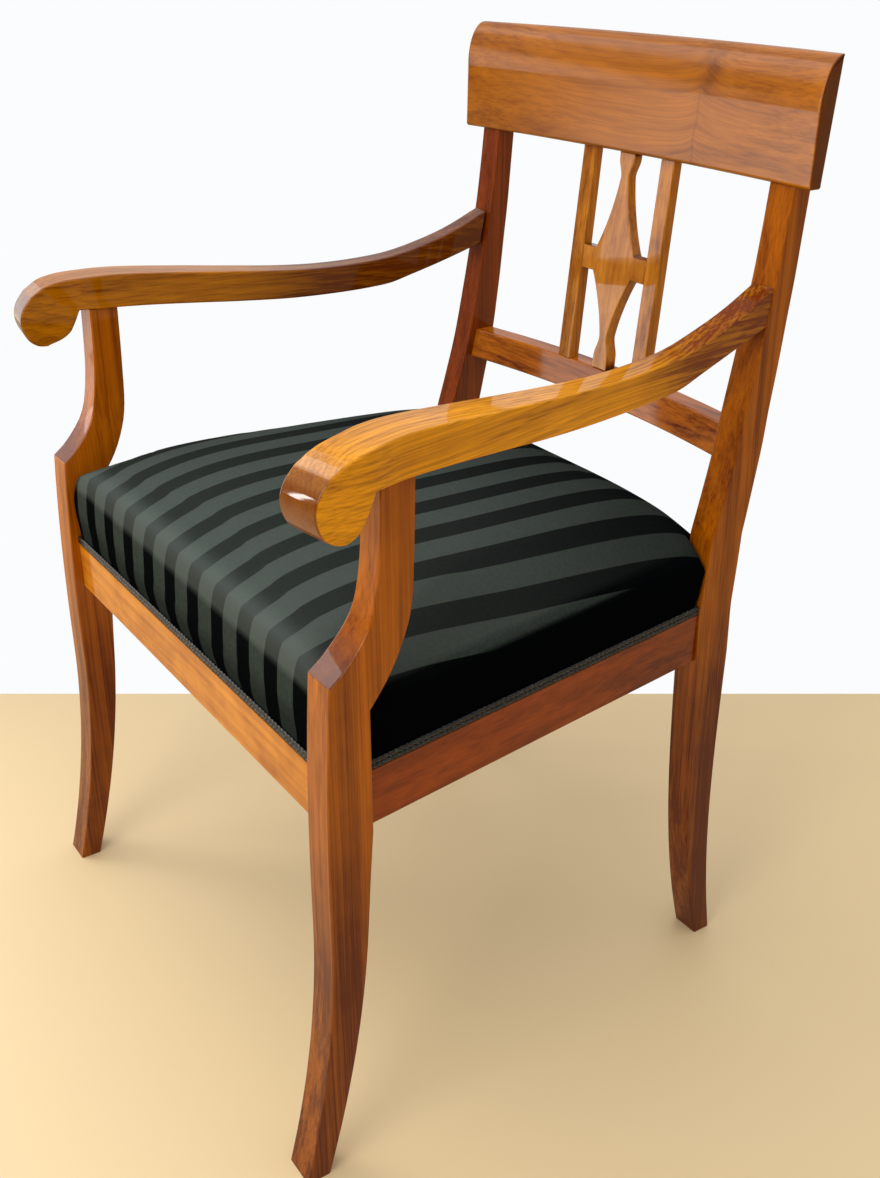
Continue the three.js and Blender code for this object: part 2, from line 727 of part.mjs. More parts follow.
function backBlock() {
  const back = backRailFront - fit;
  return prism([
    [backLegInnerSeat - blockSide, back],
    [sideFace(back - blockSide) - railThick - fit, back - blockSide],
    [sideFace(back) - railThick - fit, back],
  ], blockUnder, blockTop).subtract(backLegBlank(fit)).subtract(seatScrew(backScrewPlace, fit));
}

// Seat cushion. The plan is the rails' outline, u runs across it from -1 to 1 and v from front to
// back. The side is drawn in above the braid, and the crown falls off along an ellipse at each
// edge.

const padFront = frontRailSet - padProud;
const padBack = backRailRear - padBackSet;
const padMiddle = (padFront + padBack) / 2;
const padHalfDeep = (padBack - padFront) / 2;
const padUnder = seatTop + padLift;
const padTurn = seatTop + padSideHigh;
const gimpLow = seatTop + fit;
const gimpTop = gimpLow + gimpHigh;
const padDrawIn = padProud - gimpProud + gimpThick + fit;

function padHalfWide(y) {
  return sideFace(y) + padProud;
}

function padCrownHeight(u, v) {
  const y = padMiddle + padHalfDeep * v;
  const sideGap = Math.min((padHalfWide(y) * (1 - Math.abs(u))) / padSideRadius, 1);
  const endRadius = v < 0 ? padFrontRadius : padBackRadius;
  const endGap = Math.min((padHalfDeep * (1 - Math.abs(v))) / endRadius, 1);
  const round = Math.sqrt(1 - (1 - sideGap) ** 2) * Math.sqrt(1 - (1 - endGap) ** 2);
  const endPower = v < 0 ? padFrontPower : padBackPower;
  const swell = (1 - Math.abs(u) ** padAcrossPower) * (1 - Math.abs(v) ** endPower);
  const full = padEdgeHigh - padSideHigh - padRake * v + padCrown * swell;
  return padTurn + full * round;
}

// A point of the cushion's plan, drawn in from its edge by an inset.
function padPoint(u, v, inset, z) {
  const y = padMiddle + (padHalfDeep - inset) * v;
  return [u * (padHalfWide(y) - inset), y, z];
}

function cushion() {
  const across = 20;
  const along = 24;
  const places = [];
  const index = [];
  const spread = (i, count) => Math.sin(((i / count) * 2 - 1) * Math.PI / 2);
  const add = (point) => places.push(...point) / 3 - 1;
  const grid = steps(0, along + 1, along + 1).map((j) => steps(0, across + 1, across + 1).map((i) => {
    const [u, v] = [spread(i, across), spread(j, along)];
    return add(padPoint(u, v, 0, padCrownHeight(u, v)));
  }));
  for (let j = 0; j < along; j++) {
    for (let i = 0; i < across; i++) {
      const [a, b, c, d] = [grid[j][i], grid[j][i + 1], grid[j + 1][i + 1], grid[j + 1][i]];
      index.push(a, b, c, a, c, d);
    }
  }
  const rim = [
    ...steps(0, across, across).map((i) => [i, 0]), ...steps(0, along, along).map((j) => [across, j]),
    ...steps(across, 0, across).map((i) => [i, along]), ...steps(along, 0, along).map((j) => [0, j]),
  ];
  const drawn = (z) => padDrawIn * (1 - Math.max(z - gimpTop, 0) / (padTurn - gimpTop)) ** 2;
  const levels = [...steps(padTurn, gimpTop, 4).slice(1), gimpTop, padUnder];
  const loops = [
    rim.map(([i, j]) => grid[j][i]),
    ...levels.map((z) => rim.map(([i, j]) => {
      return add(padPoint(spread(i, across), spread(j, along), drawn(z), z));
    })),
    ...[padUnder, padHollow].map((z) => rim.map(([i, j]) => {
      return add(padPoint(spread(i, across), spread(j, along), boardInset - padClear, z));
    })),
  ];
  const count = rim.length;
  for (let row = 0; row + 1 < loops.length; row++) {
    for (let i = 0; i < count; i++) {
      const k = (i + 1) % count;
      const [a, b, c, d] = [loops[row][i], loops[row][k], loops[row + 1][k], loops[row + 1][i]];
      index.push(a, c, b, a, d, c);
    }
  }
  const centre = add([0, padMiddle, padHollow]);
  loops.at(-1).forEach((a, i, loop) => index.push(centre, loop[(i + 1) % count], a));
  const geometry = new THREE.BufferGeometry();
  geometry.setAttribute("position", new THREE.Float32BufferAttribute(places, 3));
  geometry.setIndex(index);
  const legs = bothSides(frontLegBlank(padClear).add(backLegBlank(padClear)));
  return solidOf(geometry).subtract(legs);
}

// Pad frame: four boards, half-lapped at the corners, cut round the legs.

const boardUnder = seatTop + fit;
const boardTop = boardUnder + boardThick;
const boardFront = padFront + boardInset;
const boardBack = padBack - boardInset;
const boardOuterDepth = boardInset - padProud;
const boardLap = (boardUnder + boardTop) / 2;
const strapUnder = boardTop + fit;
const strapOver = strapUnder + strapThick + fit;
const padHollow = strapOver + strapThick + padClear;

function sideBoard(grow, z0, z1) {
  return alongSide(boardOuterDepth - grow, boardOuterDepth + boardWide + grow,
    boardFront, boardBack, z0, z1);
}

function endBoard(y0, y1, z0, z1) {
  const [x0, x1] = [sideFace(y0) - boardOuterDepth, sideFace(y1) - boardOuterDepth];
  return prism([[-x0, y0], [x0, y0], [x1, y1], [-x1, y1]], z0, z1);
}

function frameBoards() {
  const legs = bothSides(frontLegBlank(padClear).add(backLegBlank(padClear)));
  const upperSides = bothSides(sideBoard(fit, boardLap, boardTop + overrun));
  const ends = [[boardFront, boardFront + boardWide], [boardBack - boardWide, boardBack]];
  const [front, back] = ends.map(([y0, y1]) => endBoard(y0, y1, boardUnder, boardTop)
    .subtract(upperSides).subtract(legs));
  const lowerEnds = ends.map(([y0, y1]) => endBoard(y0 - fit, y1 + fit,
    boardUnder - overrun, boardLap + fit));
  const side = sideBoard(0, boardUnder, boardTop).subtract(lowerEnds[0]).subtract(lowerEnds[1])
    .subtract(legs);
  const screws = [frontScrewPlace, backScrewPlace].map((place) => bothSides(seatScrew(place, fit)));
  return [front.subtract(screws[0]), back.subtract(screws[1]), side];
}

// Webbing, stretched over the frame in two layers.

function strapLengthwise(x) {
  const half = strapWide / 2;
  return box(x - half, x + half, boardFront + strapInset, boardBack - strapInset,
    strapUnder, strapUnder + strapThick);
}

function strapAcross(y) {
  const half = strapWide / 2;
  const corners = [-half, half].map((offset) => {
    return [sideFace(y + offset) - boardOuterDepth - strapInset, y + offset];
  });
  const [[x0, y0], [x1, y1]] = corners;
  return prism([[-x0, y0], [x0, y0], [x1, y1], [-x1, y1]], strapOver, strapOver + strapThick);
}

function dustCover() {
  const under = seatTop - fit - dustCoverThick / 2;
  const [y0, y1] = [frontRailRear + padClear, backRailFront - padClear];
  const [x0, x1] = [y0, y1].map((y) => sideFace(y) - railThick - padClear);
  const legs = bothSides(frontLegBlank(fit).add(backLegBlank(fit)));
  const screws = bothSides(seatScrew(frontScrewPlace, fit).add(seatScrew(backScrewPlace, fit)));
  return prism([[-x0, y0], [x0, y0], [x1, y1], [-x1, y1]], under, under + dustCoverThick)
    .subtract(legs).subtract(screws);
}

// Braid: a flat root with two cords side by side. It runs from the place where along is 0 to
// where it is 1.

function gimp(rule) {
  const root = gimpThick * gimpRootShare;
  const cord = gimpHigh / 4;
  const outline = new THREE.Shape();
  outline.moveTo(0, 0);
  outline.lineTo(root, 0);
  outline.absellipse(root, cord, gimpThick - root, cord, -Math.PI / 2, Math.PI / 2);
  outline.absellipse(root, gimpHigh - cord, gimpThick - root, cord, -Math.PI / 2, Math.PI / 2);
  outline.lineTo(0, gimpHigh);
  const strip = new THREE.ExtrudeGeometry(outline, { depth: 1, bevelEnabled: false, curveSegments: 5 });
  return solidOf(reshaped(strip, (out, up, along) => rule(out, gimpLow + up, along)));
}

const gimpSeat = padDrawIn - fit; // braid's root inside the cushion's plan
const gimpFrontHalf = frontLegInner - padClear;
const gimpBackHalf = postInner + backLegSplay(gimpTop) - padClear;

// The chair

const chair = new THREE.Group();

function place(name, solid, finish, side = 1) {
  const mesh = new THREE.Mesh(geometryOf(solid), finish.clone());
  mesh.name = name;
  mesh.scale.x = side;
  chair.add(mesh);
}

function placePair(name, solid, finish) {
  place(`${name}_left`, solid, finish, -1);
  place(`${name}_right`, solid, finish);
}

placePair("front_leg", frontLegBlank(0).add(armTenon(0)).subtract(sideTenons(fit))
  .subtract(frontTenons(fit)), cherry);
placePair("back_leg", backLegBlank(0).subtract(sideTenons(fit)).subtract(backTenons(fit))
  .subtract(crossTenons(fit)).subtract(armStub(fit)).subtract(bothSides(crestRail(fit)))
  .subtract(crestScrew(crestScrewShares[0], fit)).subtract(crestScrew(crestScrewShares[1], fit)), cherry);
place("front_rail", frontRail(0).add(frontTenons(0)), cherry);
place("back_rail", backRail.add(backTenons(0)), cherry);
placePair("side_rail", sideRail(0).add(sideTenons(0)), cherry);
placePair("corner_block_front", frontBlock(), beech);
placePair("corner_block_back", backBlock(), beech);
placePair("seat_screw_front", seatScrew(frontScrewPlace, 0), steel);
placePair("seat_screw_back", seatScrew(backScrewPlace, 0), steel);

const crestHoles = bothSides(crestScrewShares.map((share) => crestScrew(share, fit))
  .reduce((a, b) => a.add(b)));
const splatSockets = bothSides(splatTenons(barMiddle, fit)).add(splatTenons(0, fit));
place("crest_rail", crestRail(0).subtract(crestHoles).subtract(splatSockets), cherry);
placePair("crest_screw_lower", crestScrew(crestScrewShares[0], 0), steel);
placePair("crest_screw_upper", crestScrew(crestScrewShares[1], 0), steel);
place("cross_rail", crossRailBlank().subtract(backLegsGrown).add(bothSides(crossTenons(0)))
  .subtract(splatSockets), cherry);
placePair("splat_bar", splatBar().add(splatTenons(barMiddle, 0)).subtract(splatDowel(fit)), cherry);
place("splat_figure", splatFigure().add(splatTenons(0, 0)).subtract(bothSides(splatDowel(fit))), cherry);
placePair("splat_dowel", splatDowel(0), beech);
placePair("arm", arm(), cherry);

const [frontBoard, backBoard, board] = frameBoards();
place("pad_board_front", frontBoard, beech);
place("pad_board_back", backBoard, beech);
placePair("pad_board_side", board, beech);
const strapSpan = sideFaceBack - boardWide;
for (let i = 0; i < strapsLengthwise; i++) {
  const share = (2 * i + 1) / strapsLengthwise - 1;
  place(`webbing_lengthwise_${i + 1}`, strapLengthwise(strapSpan * share), jute);
}
for (let i = 0; i < strapsAcross; i++) {
  const share = (i + 1) / (strapsAcross + 1);
  place(`webbing_across_${i + 1}`, strapAcross(boardFront + (boardBack - boardFront) * share), jute);
}
place("dust_cover", dustCover(), lining);
place("seat_cushion", cushion(), satin);
place("gimp_front", gimp((out, z, along) => [
  gimpFrontHalf * (1 - 2 * along), padFront + gimpSeat - out, z,
]), braid);
place("gimp_back", gimp((out, z, along) => [
  gimpBackHalf * (2 * along - 1), padBack - gimpSeat + out, z,
]), braid);
placePair("gimp_side", gimp((out, z, along) => {
  const y = seatDepth - padClear - (seatDepth - frontLegDepth - padClear * 2) * along;
  return [padHalfWide(y) - gimpSeat + out, y, z];
}), braid);

// The origin is on the floor, under the middle of the chair's outline.
const extent = new THREE.Box3().setFromObject(chair);
chair.position.y = -(extent.min.y + extent.max.y) / 2;

const part = new THREE.Group();
part.add(chair);

export default part;
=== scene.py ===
import bpy
import numpy as np
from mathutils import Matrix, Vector


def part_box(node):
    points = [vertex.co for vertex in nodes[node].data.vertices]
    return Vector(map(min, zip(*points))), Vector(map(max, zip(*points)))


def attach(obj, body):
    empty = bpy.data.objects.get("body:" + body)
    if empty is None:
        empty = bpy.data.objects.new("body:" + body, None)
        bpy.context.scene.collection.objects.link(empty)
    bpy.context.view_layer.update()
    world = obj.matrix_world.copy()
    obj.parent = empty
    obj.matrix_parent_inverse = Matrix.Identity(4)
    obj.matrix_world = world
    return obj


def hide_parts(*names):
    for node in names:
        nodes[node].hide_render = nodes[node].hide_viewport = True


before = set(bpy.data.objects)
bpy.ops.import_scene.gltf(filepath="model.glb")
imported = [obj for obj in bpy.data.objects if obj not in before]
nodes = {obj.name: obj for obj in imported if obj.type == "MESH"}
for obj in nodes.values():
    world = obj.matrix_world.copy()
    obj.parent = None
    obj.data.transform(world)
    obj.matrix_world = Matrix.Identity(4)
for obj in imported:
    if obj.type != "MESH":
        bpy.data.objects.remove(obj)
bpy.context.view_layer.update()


# Front legs. Each is one sabre-shaped board of cherry that runs up past the seat and becomes the
# arm's support. It is sawn to its side outline, its arrises are eased and it is varnished; the
# rails are tenoned into it, and a stub tenon on its top goes up into the arm.

# Sizes are in millimetres, with y from the front of the legs, as a joiner's drawing gives them.
seat_top = 400.0
rail_under = 350.0
seat_depth = 438.5
fit = 0.3
toe_sweep = 42.0
leg_hollow = 7.0
knee_height = 260.0
cusp_height = 492.0
kink_height = 463.0
arm_under = 646.0
front_leg_outer = 293.5
front_leg_inner = 260.0
front_leg_depth = 35.0
front_foot_depth = 23.0
support_set = 48.0
support_depth = 29.6
support_narrow = 5.0
support_narrow_share = 0.45
belly_power = 2.5
front_leg_growth = 1.3
arris = 1.7
metre = 0.001
legs_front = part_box("front_leg_right")[0].y / metre + toe_sweep


def through(shares):
    """A smooth curve through (place, value) pairs, as a function of the place: in each span a
    cubic whose slope at either end is the mean of the two chords that meet there."""
    place, value = np.array(shares, float).T
    chord = np.diff(value) / np.diff(place)
    slope = np.concatenate([chord[:1], (chord[:-1] + chord[1:]) / 2, chord[-1:]])

    def curve(at):
        """The curve's value at places, held at either end."""
        at = np.clip(at, place[0], place[-1])
        i = np.clip(np.searchsorted(place, at, side="right") - 1, 0, len(chord) - 1)
        span = place[i + 1] - place[i]
        p = (at - place[i]) / span
        rise = value[i + 1] - value[i]
        return (value[i] + rise * (3 * p**2 - 2 * p**3) + slope[i] * span * (p - 2 * p**2 + p**3)
                + slope[i + 1] * span * (p**3 - p**2))

    return curve


def share_of(value, low, high):
    """How far a value lies from low towards high, as a share of that way."""
    return (value - low) / (high - low)


def mix(share, low, high):
    """The value at a share of the way from low to high."""
    return low + (high - low) * share


def smoothstep(value, low, high):
    """0 below low, 1 above high, and 3p^2 - 2p^3 of the share p between them."""
    p = np.clip(share_of(value, low, high), 0, 1)
    return p * p * (3 - 2 * p)


def stations(*stops):
    """Places along a piece, one to a row: even steps between the stops, and a pair of close places
    at each inner stop, so that a crease there stays crisp."""
    step, close = 9, 0.25
    runs = []
    for low, high in zip(stops[:-1], stops[1:]):
        count = max(int(np.ceil((high - low) / step)), 2)
        runs.append(np.linspace(low, high, count + 1)[1:-1])
        runs.append([low + close, high - close])
    inner = np.sort(np.concatenate(runs))
    return np.concatenate([stops[:1], inner, stops[-1:]])[:, None]


def eased(height, width, radius):
    """Rings of an eased rectangle, one for each row of the height and the width: its four corners
    are quarter circles of the radius. Gives the two distances from the low corner."""
    turn = np.radians([180, 210, 240, 270, 270, 300, 330, 360, 0, 30, 60, 90, 90, 120, 150, 180])
    up, over = np.repeat([[0, 0, 1, 1], [0, 1, 1, 0]], 4, axis=1)
    radius = np.minimum(radius, 0.45 * np.minimum(height, width))
    b = radius + (width - 2 * radius) * over + radius * np.cos(turn)
    a = radius + (height - 2 * radius) * up + radius * np.sin(turn)
    return a, b


def placed(name, data):
    """A new object in the scene that shows the data."""
    made = bpy.data.objects.new(name, data)
    bpy.context.scene.collection.objects.link(made)
    return made


def skinned(name, grid, side=1):
    """A closed mesh over the x, y and z of a grid of points, one ring to a row: quads join each
    ring to the next, and one flat face closes each end. Each vertex normal is the sum of its
    quads' cross products, so a wide flat face outweighs the narrow strips that ease its edges."""
    grid = np.stack(np.broadcast_arrays(*grid), 2) * metre
    grid[..., 1] += legs_front * metre
    grid[..., 0] *= side
    count, ring = grid.shape[:2]
    points = grid.reshape(-1, 3)
    first, round_it = np.arange(count - 1)[:, None] * ring, np.arange(ring)
    start = (first + round_it).ravel()
    after = (first + (round_it + 1) % ring).ravel()
    quads = np.stack([start, after, after + ring, start + ring], axis=1)
    ends = [round_it[::-1], round_it + (count - 1) * ring]
    corner = [points[quads[:, i]] for i in range(4)]
    cross = np.cross(corner[2] - corner[0], corner[3] - corner[1])
    outwards = points[quads].mean(axis=1) - np.repeat(grid[:-1].mean(axis=1), ring, axis=0)
    if (cross * outwards).sum() < 0:
        quads = quads[:, ::-1]
        ends = [end[::-1] for end in ends]
        cross = -cross
    normal = np.zeros_like(points)
    for i in range(4):
        np.add.at(normal, quads[:, i], cross)
    mesh = bpy.data.meshes.new(name)
    mesh.from_pydata(points, [], [*quads.tolist(), *(end.tolist() for end in ends)])
    mesh.polygons.foreach_set("use_smooth", np.ones(len(mesh.polygons), bool))
    flats = [np.tile(mesh.polygons[i].normal, (ring, 1)) for i in (-2, -1)]
    normals = np.concatenate([normal[quads.ravel()], *flats])
    normals /= np.maximum(np.linalg.norm(normals, axis=1), 1e-12)[:, None]
    mesh.normals_split_custom_set(normals)
    return placed(name, mesh)


def stands_for(piece, finish, slot, *replaced):
    """Dresses a piece in its finish and lets it ride on the chair in place of CAD nodes."""
    piece.data.materials.append(finish)
    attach(piece, "root")
    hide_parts(*replaced)


def feed(made, *links):
    """Gives a node's sockets what they get. Each link is a socket and a value for it, or a socket
    and the output that feeds it."""
    for socket, value in links:
        if isinstance(value, bpy.types.NodeSocket):
            made.id_data.links.new(value, made.inputs[socket])
        else:
            made.inputs[socket].default_value = value
    return made


def add_node(tree, kind, *links, **settings):
    """A shader node with its settings and links."""
    made = tree.nodes.new("ShaderNode" + kind)
    for key, value in settings.items():
        setattr(made, key, value)
    return feed(made, *links)


def tree_of(*values):
    """The tree of the first output among some values."""
    return next(value.id_data for value in values if isinstance(value, bpy.types.NodeSocket))


def worked(kind, values, **settings):
    """The outputs of a node whose sockets take the values in their order."""
    return add_node(tree_of(*values), kind, *enumerate(values), **settings).outputs


def maths(operation, *values):
    """The result of one Math node."""
    return worked("Math", values, operation=operation)[0]


def squared(a, b):
    """The sum of two squares."""
    return maths("MULTIPLY_ADD", a, a, maths("MULTIPLY", b, b))


def vectors(operation, *values):
    """The result of one Vector Math node, a number for a dot product."""
    return worked("VectorMath", values, operation=operation)[operation == "DOT_PRODUCT"]


def split(vector):
    """The three parts of a vector."""
    return worked("SeparateXYZ", (vector,))


def ramp(value, low, high, bottom=0.0, top=1.0, kind="LINEAR"):
    """Maps low to the bottom and high to the top, and goes no further at either end."""
    return worked("MapRange", (value, low, high, bottom, top), interpolation_type=kind)[0]


def between(value, low, high, bottom=0.0, top=1.0):
    """The same map as a smoothstep: 3p^2 - 2p^3 of the share p."""
    return ramp(value, low, high, bottom, top, "SMOOTHSTEP")


def noise(place, scale, detail, roughness=0.5):
    """Soft noise, 0 to 1, about a place."""
    return add_node(place.id_data, "TexNoise", ("Vector", place), ("Scale", scale),
                    ("Detail", detail), ("Roughness", roughness)).outputs[0]


def blend_colours(share, first, second, how="MIX"):
    """The result of a colour Mix node."""
    made = add_node(tree_of(share, first, second), "Mix", (0, share), (6, first), (7, second),
                    data_type="RGBA", blend_type=how)
    return made.outputs[2]


def embossed(height, strength, depth):
    """The normal of a surface with a fine relief of the given depth in metres."""
    return add_node(height.id_data, "Bump", ("Height", height), ("Strength", strength),
                    ("Distance", depth)).outputs[0]


def new_finish(name):
    """A new material, its shader and the place in the frame of the piece that wears it."""
    finish = bpy.data.materials.new(name)
    finish.use_nodes = True
    tree = finish.node_tree
    return finish, tree.nodes["Principled BSDF"], add_node(tree, "TexCoord").outputs["Object"]


def new_group(name, inputs, outputs):
    """An empty shader node group. Its inputs are named values: one number, three of a vector or
    four of a colour. Its outputs are named kinds."""
    group = bpy.data.node_groups.new(name, "ShaderNodeTree")
    for label, value in inputs:
        kind = {1: "Float", 3: "Vector", 4: "Color"}[np.size(value)]
        made = group.interface.new_socket(label, in_out="INPUT", socket_type="NodeSocket" + kind)
        made.default_value = value
    for label, kind in outputs:
        group.interface.new_socket(label, in_out="OUTPUT", socket_type="NodeSocket" + kind)
    return group, group.nodes.new("NodeGroupInput").outputs, group.nodes.new("NodeGroupOutput")


def colour(red, green, blue):
    """A colour of 0 to 255 as the eye sees it, in the linear values that shaders take."""
    share = np.array([red, green, blue]) / 255
    linear = np.where(share > 0.04045, ((share + 0.055) / 1.055) ** 2.4, share / 12.92)
    return (*linear, 1.0)


def grain_group():
    """Plain-sawn cherry, with x along the grain. Growth rings are the distance from a pith line beside
    the board, bent by slow noise. Bands, thin streaks and pores are noise drawn out along the grain, and
    a slow mottle lies over them. Between two places along the grain the board is painted darker: painted
    shade, where less light reaches that part of the chair. Where a face is cut across the grain, the
    open ends of the pores drink the varnish and the colour goes deep."""
    tree, given, result = new_group("cherry_grain", [
        ("Place", (0, 0, 0)), ("Facing", (0, 0, 1)), ("Light", (0.6, 0.3, 0.1, 1)),
        ("Dark", (0.2, 0.05, 0.01, 1)), ("Ring Gap", 0.006), ("Rings", 0.3), ("Bands", 0.5),
        ("Streaks", 0.4), ("Mottle", 0.2), ("Wander", 0.02), ("Tilt", 0.05),
        ("Pith", (0, 0.07, 0.02)), ("Heart", 0.0), ("Heart Start", 0.0), ("Heart End", 0.1),
    ], [("Color", "Color"), ("Roughness", "Float"), ("Height", "Float")])
    place = given["Place"]

    def drawn_out(source, scale, detail):
        """Noise about a place whose three directions are scaled."""
        return noise(vectors("MULTIPLY", source, scale), 1.0, detail, 0.6)

    drift = drawn_out(place, (2.6, 9, 9), 2.0).node.outputs["Color"]
    bent = vectors("MULTIPLY", vectors("SUBTRACT", drift, (0.5, 0.5, 0.5)), given["Wander"])
    moved = vectors("ADD", place, bent)
    x, y, z = split(vectors("ADD", moved, given["Pith"]))
    y = maths("MULTIPLY_ADD", x, given["Tilt"], y)
    radius = maths("SQRT", squared(y, z))
    rings = maths("FRACT", maths("DIVIDE", radius, given["Ring Gap"]))
    late = maths("MULTIPLY", maths("POWER", rings, 2.2), between(rings, 1.0, 0.86))
    # Painted shade: between the two places along the grain the board is darkened, where less light
    # reaches that part of the chair.
    dark = between(split(place)[0], given["Heart Start"], given["Heart End"], 0.0, given["Heart"])
    dark = maths("MULTIPLY_ADD", late, given["Rings"], dark)
    pore_share = 0.1
    for share, source, scale, detail, low, high in (
        (given["Bands"], moved, (1, 70, 70), 2.0, 0.36, 0.66),
        (given["Streaks"], moved, (3, 560, 560), 2.0, 0.4, 0.66),
        (given["Mottle"], place, (24, 34, 34), 2.0, 0.3, 0.74),
        (pore_share, place, (110, 1700, 1700), 1.0, 0.6, 0.74),
    ):
        mask = between(drawn_out(source, scale, detail), low, high)
        dark = maths("MULTIPLY_ADD", mask, share, dark)
    dark = worked("Clamp", (dark,))[0]
    flat_sawn = blend_colours(dark, given["Light"], given["Dark"])
    endways = maths("ABSOLUTE", split(given["Facing"])[0])
    drunk = between(endways, 0.25, 0.9, 0.0, 0.86)
    deep = blend_colours(1.0, given["Dark"], (0.6, 0.45, 0.4, 1), "MULTIPLY")
    feed(result, ("Color", blend_colours(drunk, flat_sawn, deep)),
         ("Roughness", ramp(dark, 0.0, 1.0, 0.34, 0.5)), ("Height", maths("SUBTRACT", 1.0, dark)))
    return tree


grain = grain_group()


def cherry(name, turn, light, dark, gloss=0.045, shift=(0, 0, 0), **settings):
    """Cherry under a glossy clear varnish. The turn, in degrees, brings the piece's length to the
    grain's x, and the shift picks the part of the log that the board is cut from."""
    finish, shader, place = new_finish(name)
    tree = finish.node_tree
    turned = ("Rotation", np.radians(turn))
    sawn = add_node(tree, "Mapping", ("Vector", place), turned, ("Location", shift))
    facing = add_node(tree, "Mapping", ("Vector", place.node.outputs["Normal"]), turned,
                      vector_type="NORMAL")
    figure = [(label.replace("_", " ").title(), value) for label, value in settings.items()]
    wood = add_node(tree, "Group", ("Place", sawn.outputs[0]), ("Facing", facing.outputs[0]),
                    ("Light", colour(*light)), ("Dark", colour(*dark)), *figure, node_tree=grain)
    shade, rough, height = wood.outputs
    feed(shader, ("Base Color", shade), ("Roughness", rough), ("Normal", embossed(height, 0.1, 0.0003)),
         ("Specular IOR Level", 0.04), ("Coat Weight", 0.52), ("Coat Roughness", gloss),
         ("Coat IOR", 1.5))
    return finish


def board(name, node, grid, sign, *look, **figure):
    """A board of cherry over a grid, which stands for a CAD node. Gives its finish."""
    finish = cherry(f"cherry_{node}", *look, **figure)
    stands_for(skinned(name, grid, sign), finish, "varnished_cherry", node)
    return finish


sides = (("left", -1), ("right", 1))
support_front = through([
    (0, 0), (0.045, 0.19), (0.15, 0.5), (0.22, 0.66), (0.3, 0.78), (0.42, 0.87), (0.55, 0.93),
    (0.8, 0.98), (1, 1),
])
support_rear = through([
    (0, 0), (0.06, 0.2), (0.14, 0.43), (0.23, 0.63), (0.36, 0.84), (0.46, 0.92), (0.63, 0.96),
    (0.82, 0.985), (1, 1),
])


def front_leg_front(z):
    """Below the cusp the front hollows as a power of the height and sweeps out as the square of
    the drop from the knee; above it the support follows its own curve."""
    belly = np.maximum(z - knee_height, 0) / (cusp_height - knee_height)
    toe = np.maximum(knee_height - z, 0) / knee_height
    low = -leg_hollow * (1 - belly**belly_power) - (toe_sweep - leg_hollow) * toe**2
    high = support_set * support_front(share_of(z, cusp_height, arm_under))
    return np.where(z > cusp_height, high, low)


def front_leg_rear(z):
    """The leg thickens as a power of the height from the foot to the rails, is straight behind the
    seat and turns back at the kink along the support's own curve."""
    at_rails = front_leg_depth - front_leg_front(rail_under)
    grown = np.minimum(z / rail_under, 1) ** front_leg_growth
    low = front_leg_front(z) + mix(grown, front_foot_depth, at_rails)
    share = support_rear(share_of(z, kink_height, arm_under))
    high = mix(share, front_leg_depth, support_set + support_depth)
    return np.where(z > kink_height, high, np.where(z > rail_under, front_leg_depth, low))


def narrowed(z):
    """How far outwards the support's inner face has moved at a height, as a smoothstep."""
    return support_narrow * smoothstep(share_of(z, cusp_height, arm_under), 0, support_narrow_share)


def front_leg():
    """Rings of the leg at each height: eased rectangles from its front to its rear edge."""
    z = stations(0, rail_under, kink_height, cusp_height, arm_under - fit)
    front = front_leg_front(z)
    inner = front_leg_inner + narrowed(z)
    a, b = eased(front_leg_rear(z) - front, front_leg_outer - inner, arris)
    return inner + b, front + a, z


# Each front leg is painted darker towards its foot: painted shade, for light that falls off towards the
# floor.
for side, sign in sides:
    board(f"leg_and_support_{side}", f"front_leg_{side}", front_leg(), sign, (0, 90, 0),
          (186, 100, 0), (90, 30, 0), ring_gap=0.012, rings=0.12, bands=0.4, streaks=0.26,
          mottle=0.14, wander=0.005, pith=(0, 0.06, 0.035), shift=(0, 0.02 * sign, 0.3),
          heart=0.42, heart_start=0.42, heart_end=0.2)


# Back legs. Each is one board of cherry from the floor to the crest rail: it sweeps back to the
# foot, stands upright at the seat and leans back above it as the post. Its feet splay outwards,
# and its top is thinned to a tongue behind the crest rail.

post_outer = 229.5
post_thick = 30.0
splay = 13.3
splay_height = 589.0
back_leg_depth = 42.0
back_foot_depth = 20.6
heel_sweep = 32.0
crest_under = 793.0
crest_height = 107.0
post_rake = 71.0
post_top_depth = 20.7
crease_share = 0.19
crease_rake_share = 0.127
post_front = through([
    (crease_share, crease_rake_share), (0.3, 0.3), (0.4, 0.445), (0.5, 0.557), (0.6, 0.668),
    (0.7, 0.77), (0.8, 0.868), (0.9, 0.94), (1, 1),
])
post_taper = through([
    (0, 0), (0.19, 0.09), (0.32, 0.27), (0.45, 0.42), (0.57, 0.57), (0.74, 0.8), (0.88, 0.94), (1, 1),
])
tongue_height = 82.0
tongue_bevel = 8.0
splay_power = 1.5
back_leg_growth = 0.8
crest_width = 504.8
crest_proud = 4.0
crest_thick = 13.7
crest_swell = 4.0
crest_top = 25.2
crest_face_lean = 2.4
crest_roll = 44.0
crest_bow_low = 13.0
crest_bow_high = 21.0
crest_lean_share = (crest_top - crest_thick) / crest_height
post_inner = post_outer - post_thick
post_middle = post_outer - post_thick / 2


def leg_splay(z):
    """How far outwards the leg stands: less than at the foot, as a power of the height."""
    return splay * (1 - np.minimum(z / splay_height, 1) ** splay_power)


def post_share(z):
    """How far up the post a height lies, as a share."""
    return np.clip(share_of(z, seat_top, crest_under), 0, 1)


def back_leg_front(z):
    """The heel sweeps back as the cube of the drop below the rails; the post is upright to its
    crease and then follows its own curve, and the tongue leans with the crest rail's back."""
    share = post_share(z)
    rake = np.where(share < crease_share, share * crease_rake_share / crease_share, post_front(share))
    heel = heel_sweep * (1 - np.minimum(z, rail_under) / rail_under) ** 3
    return seat_depth + heel + post_rake * rake + np.maximum(z - crest_under, 0) * crest_lean_share


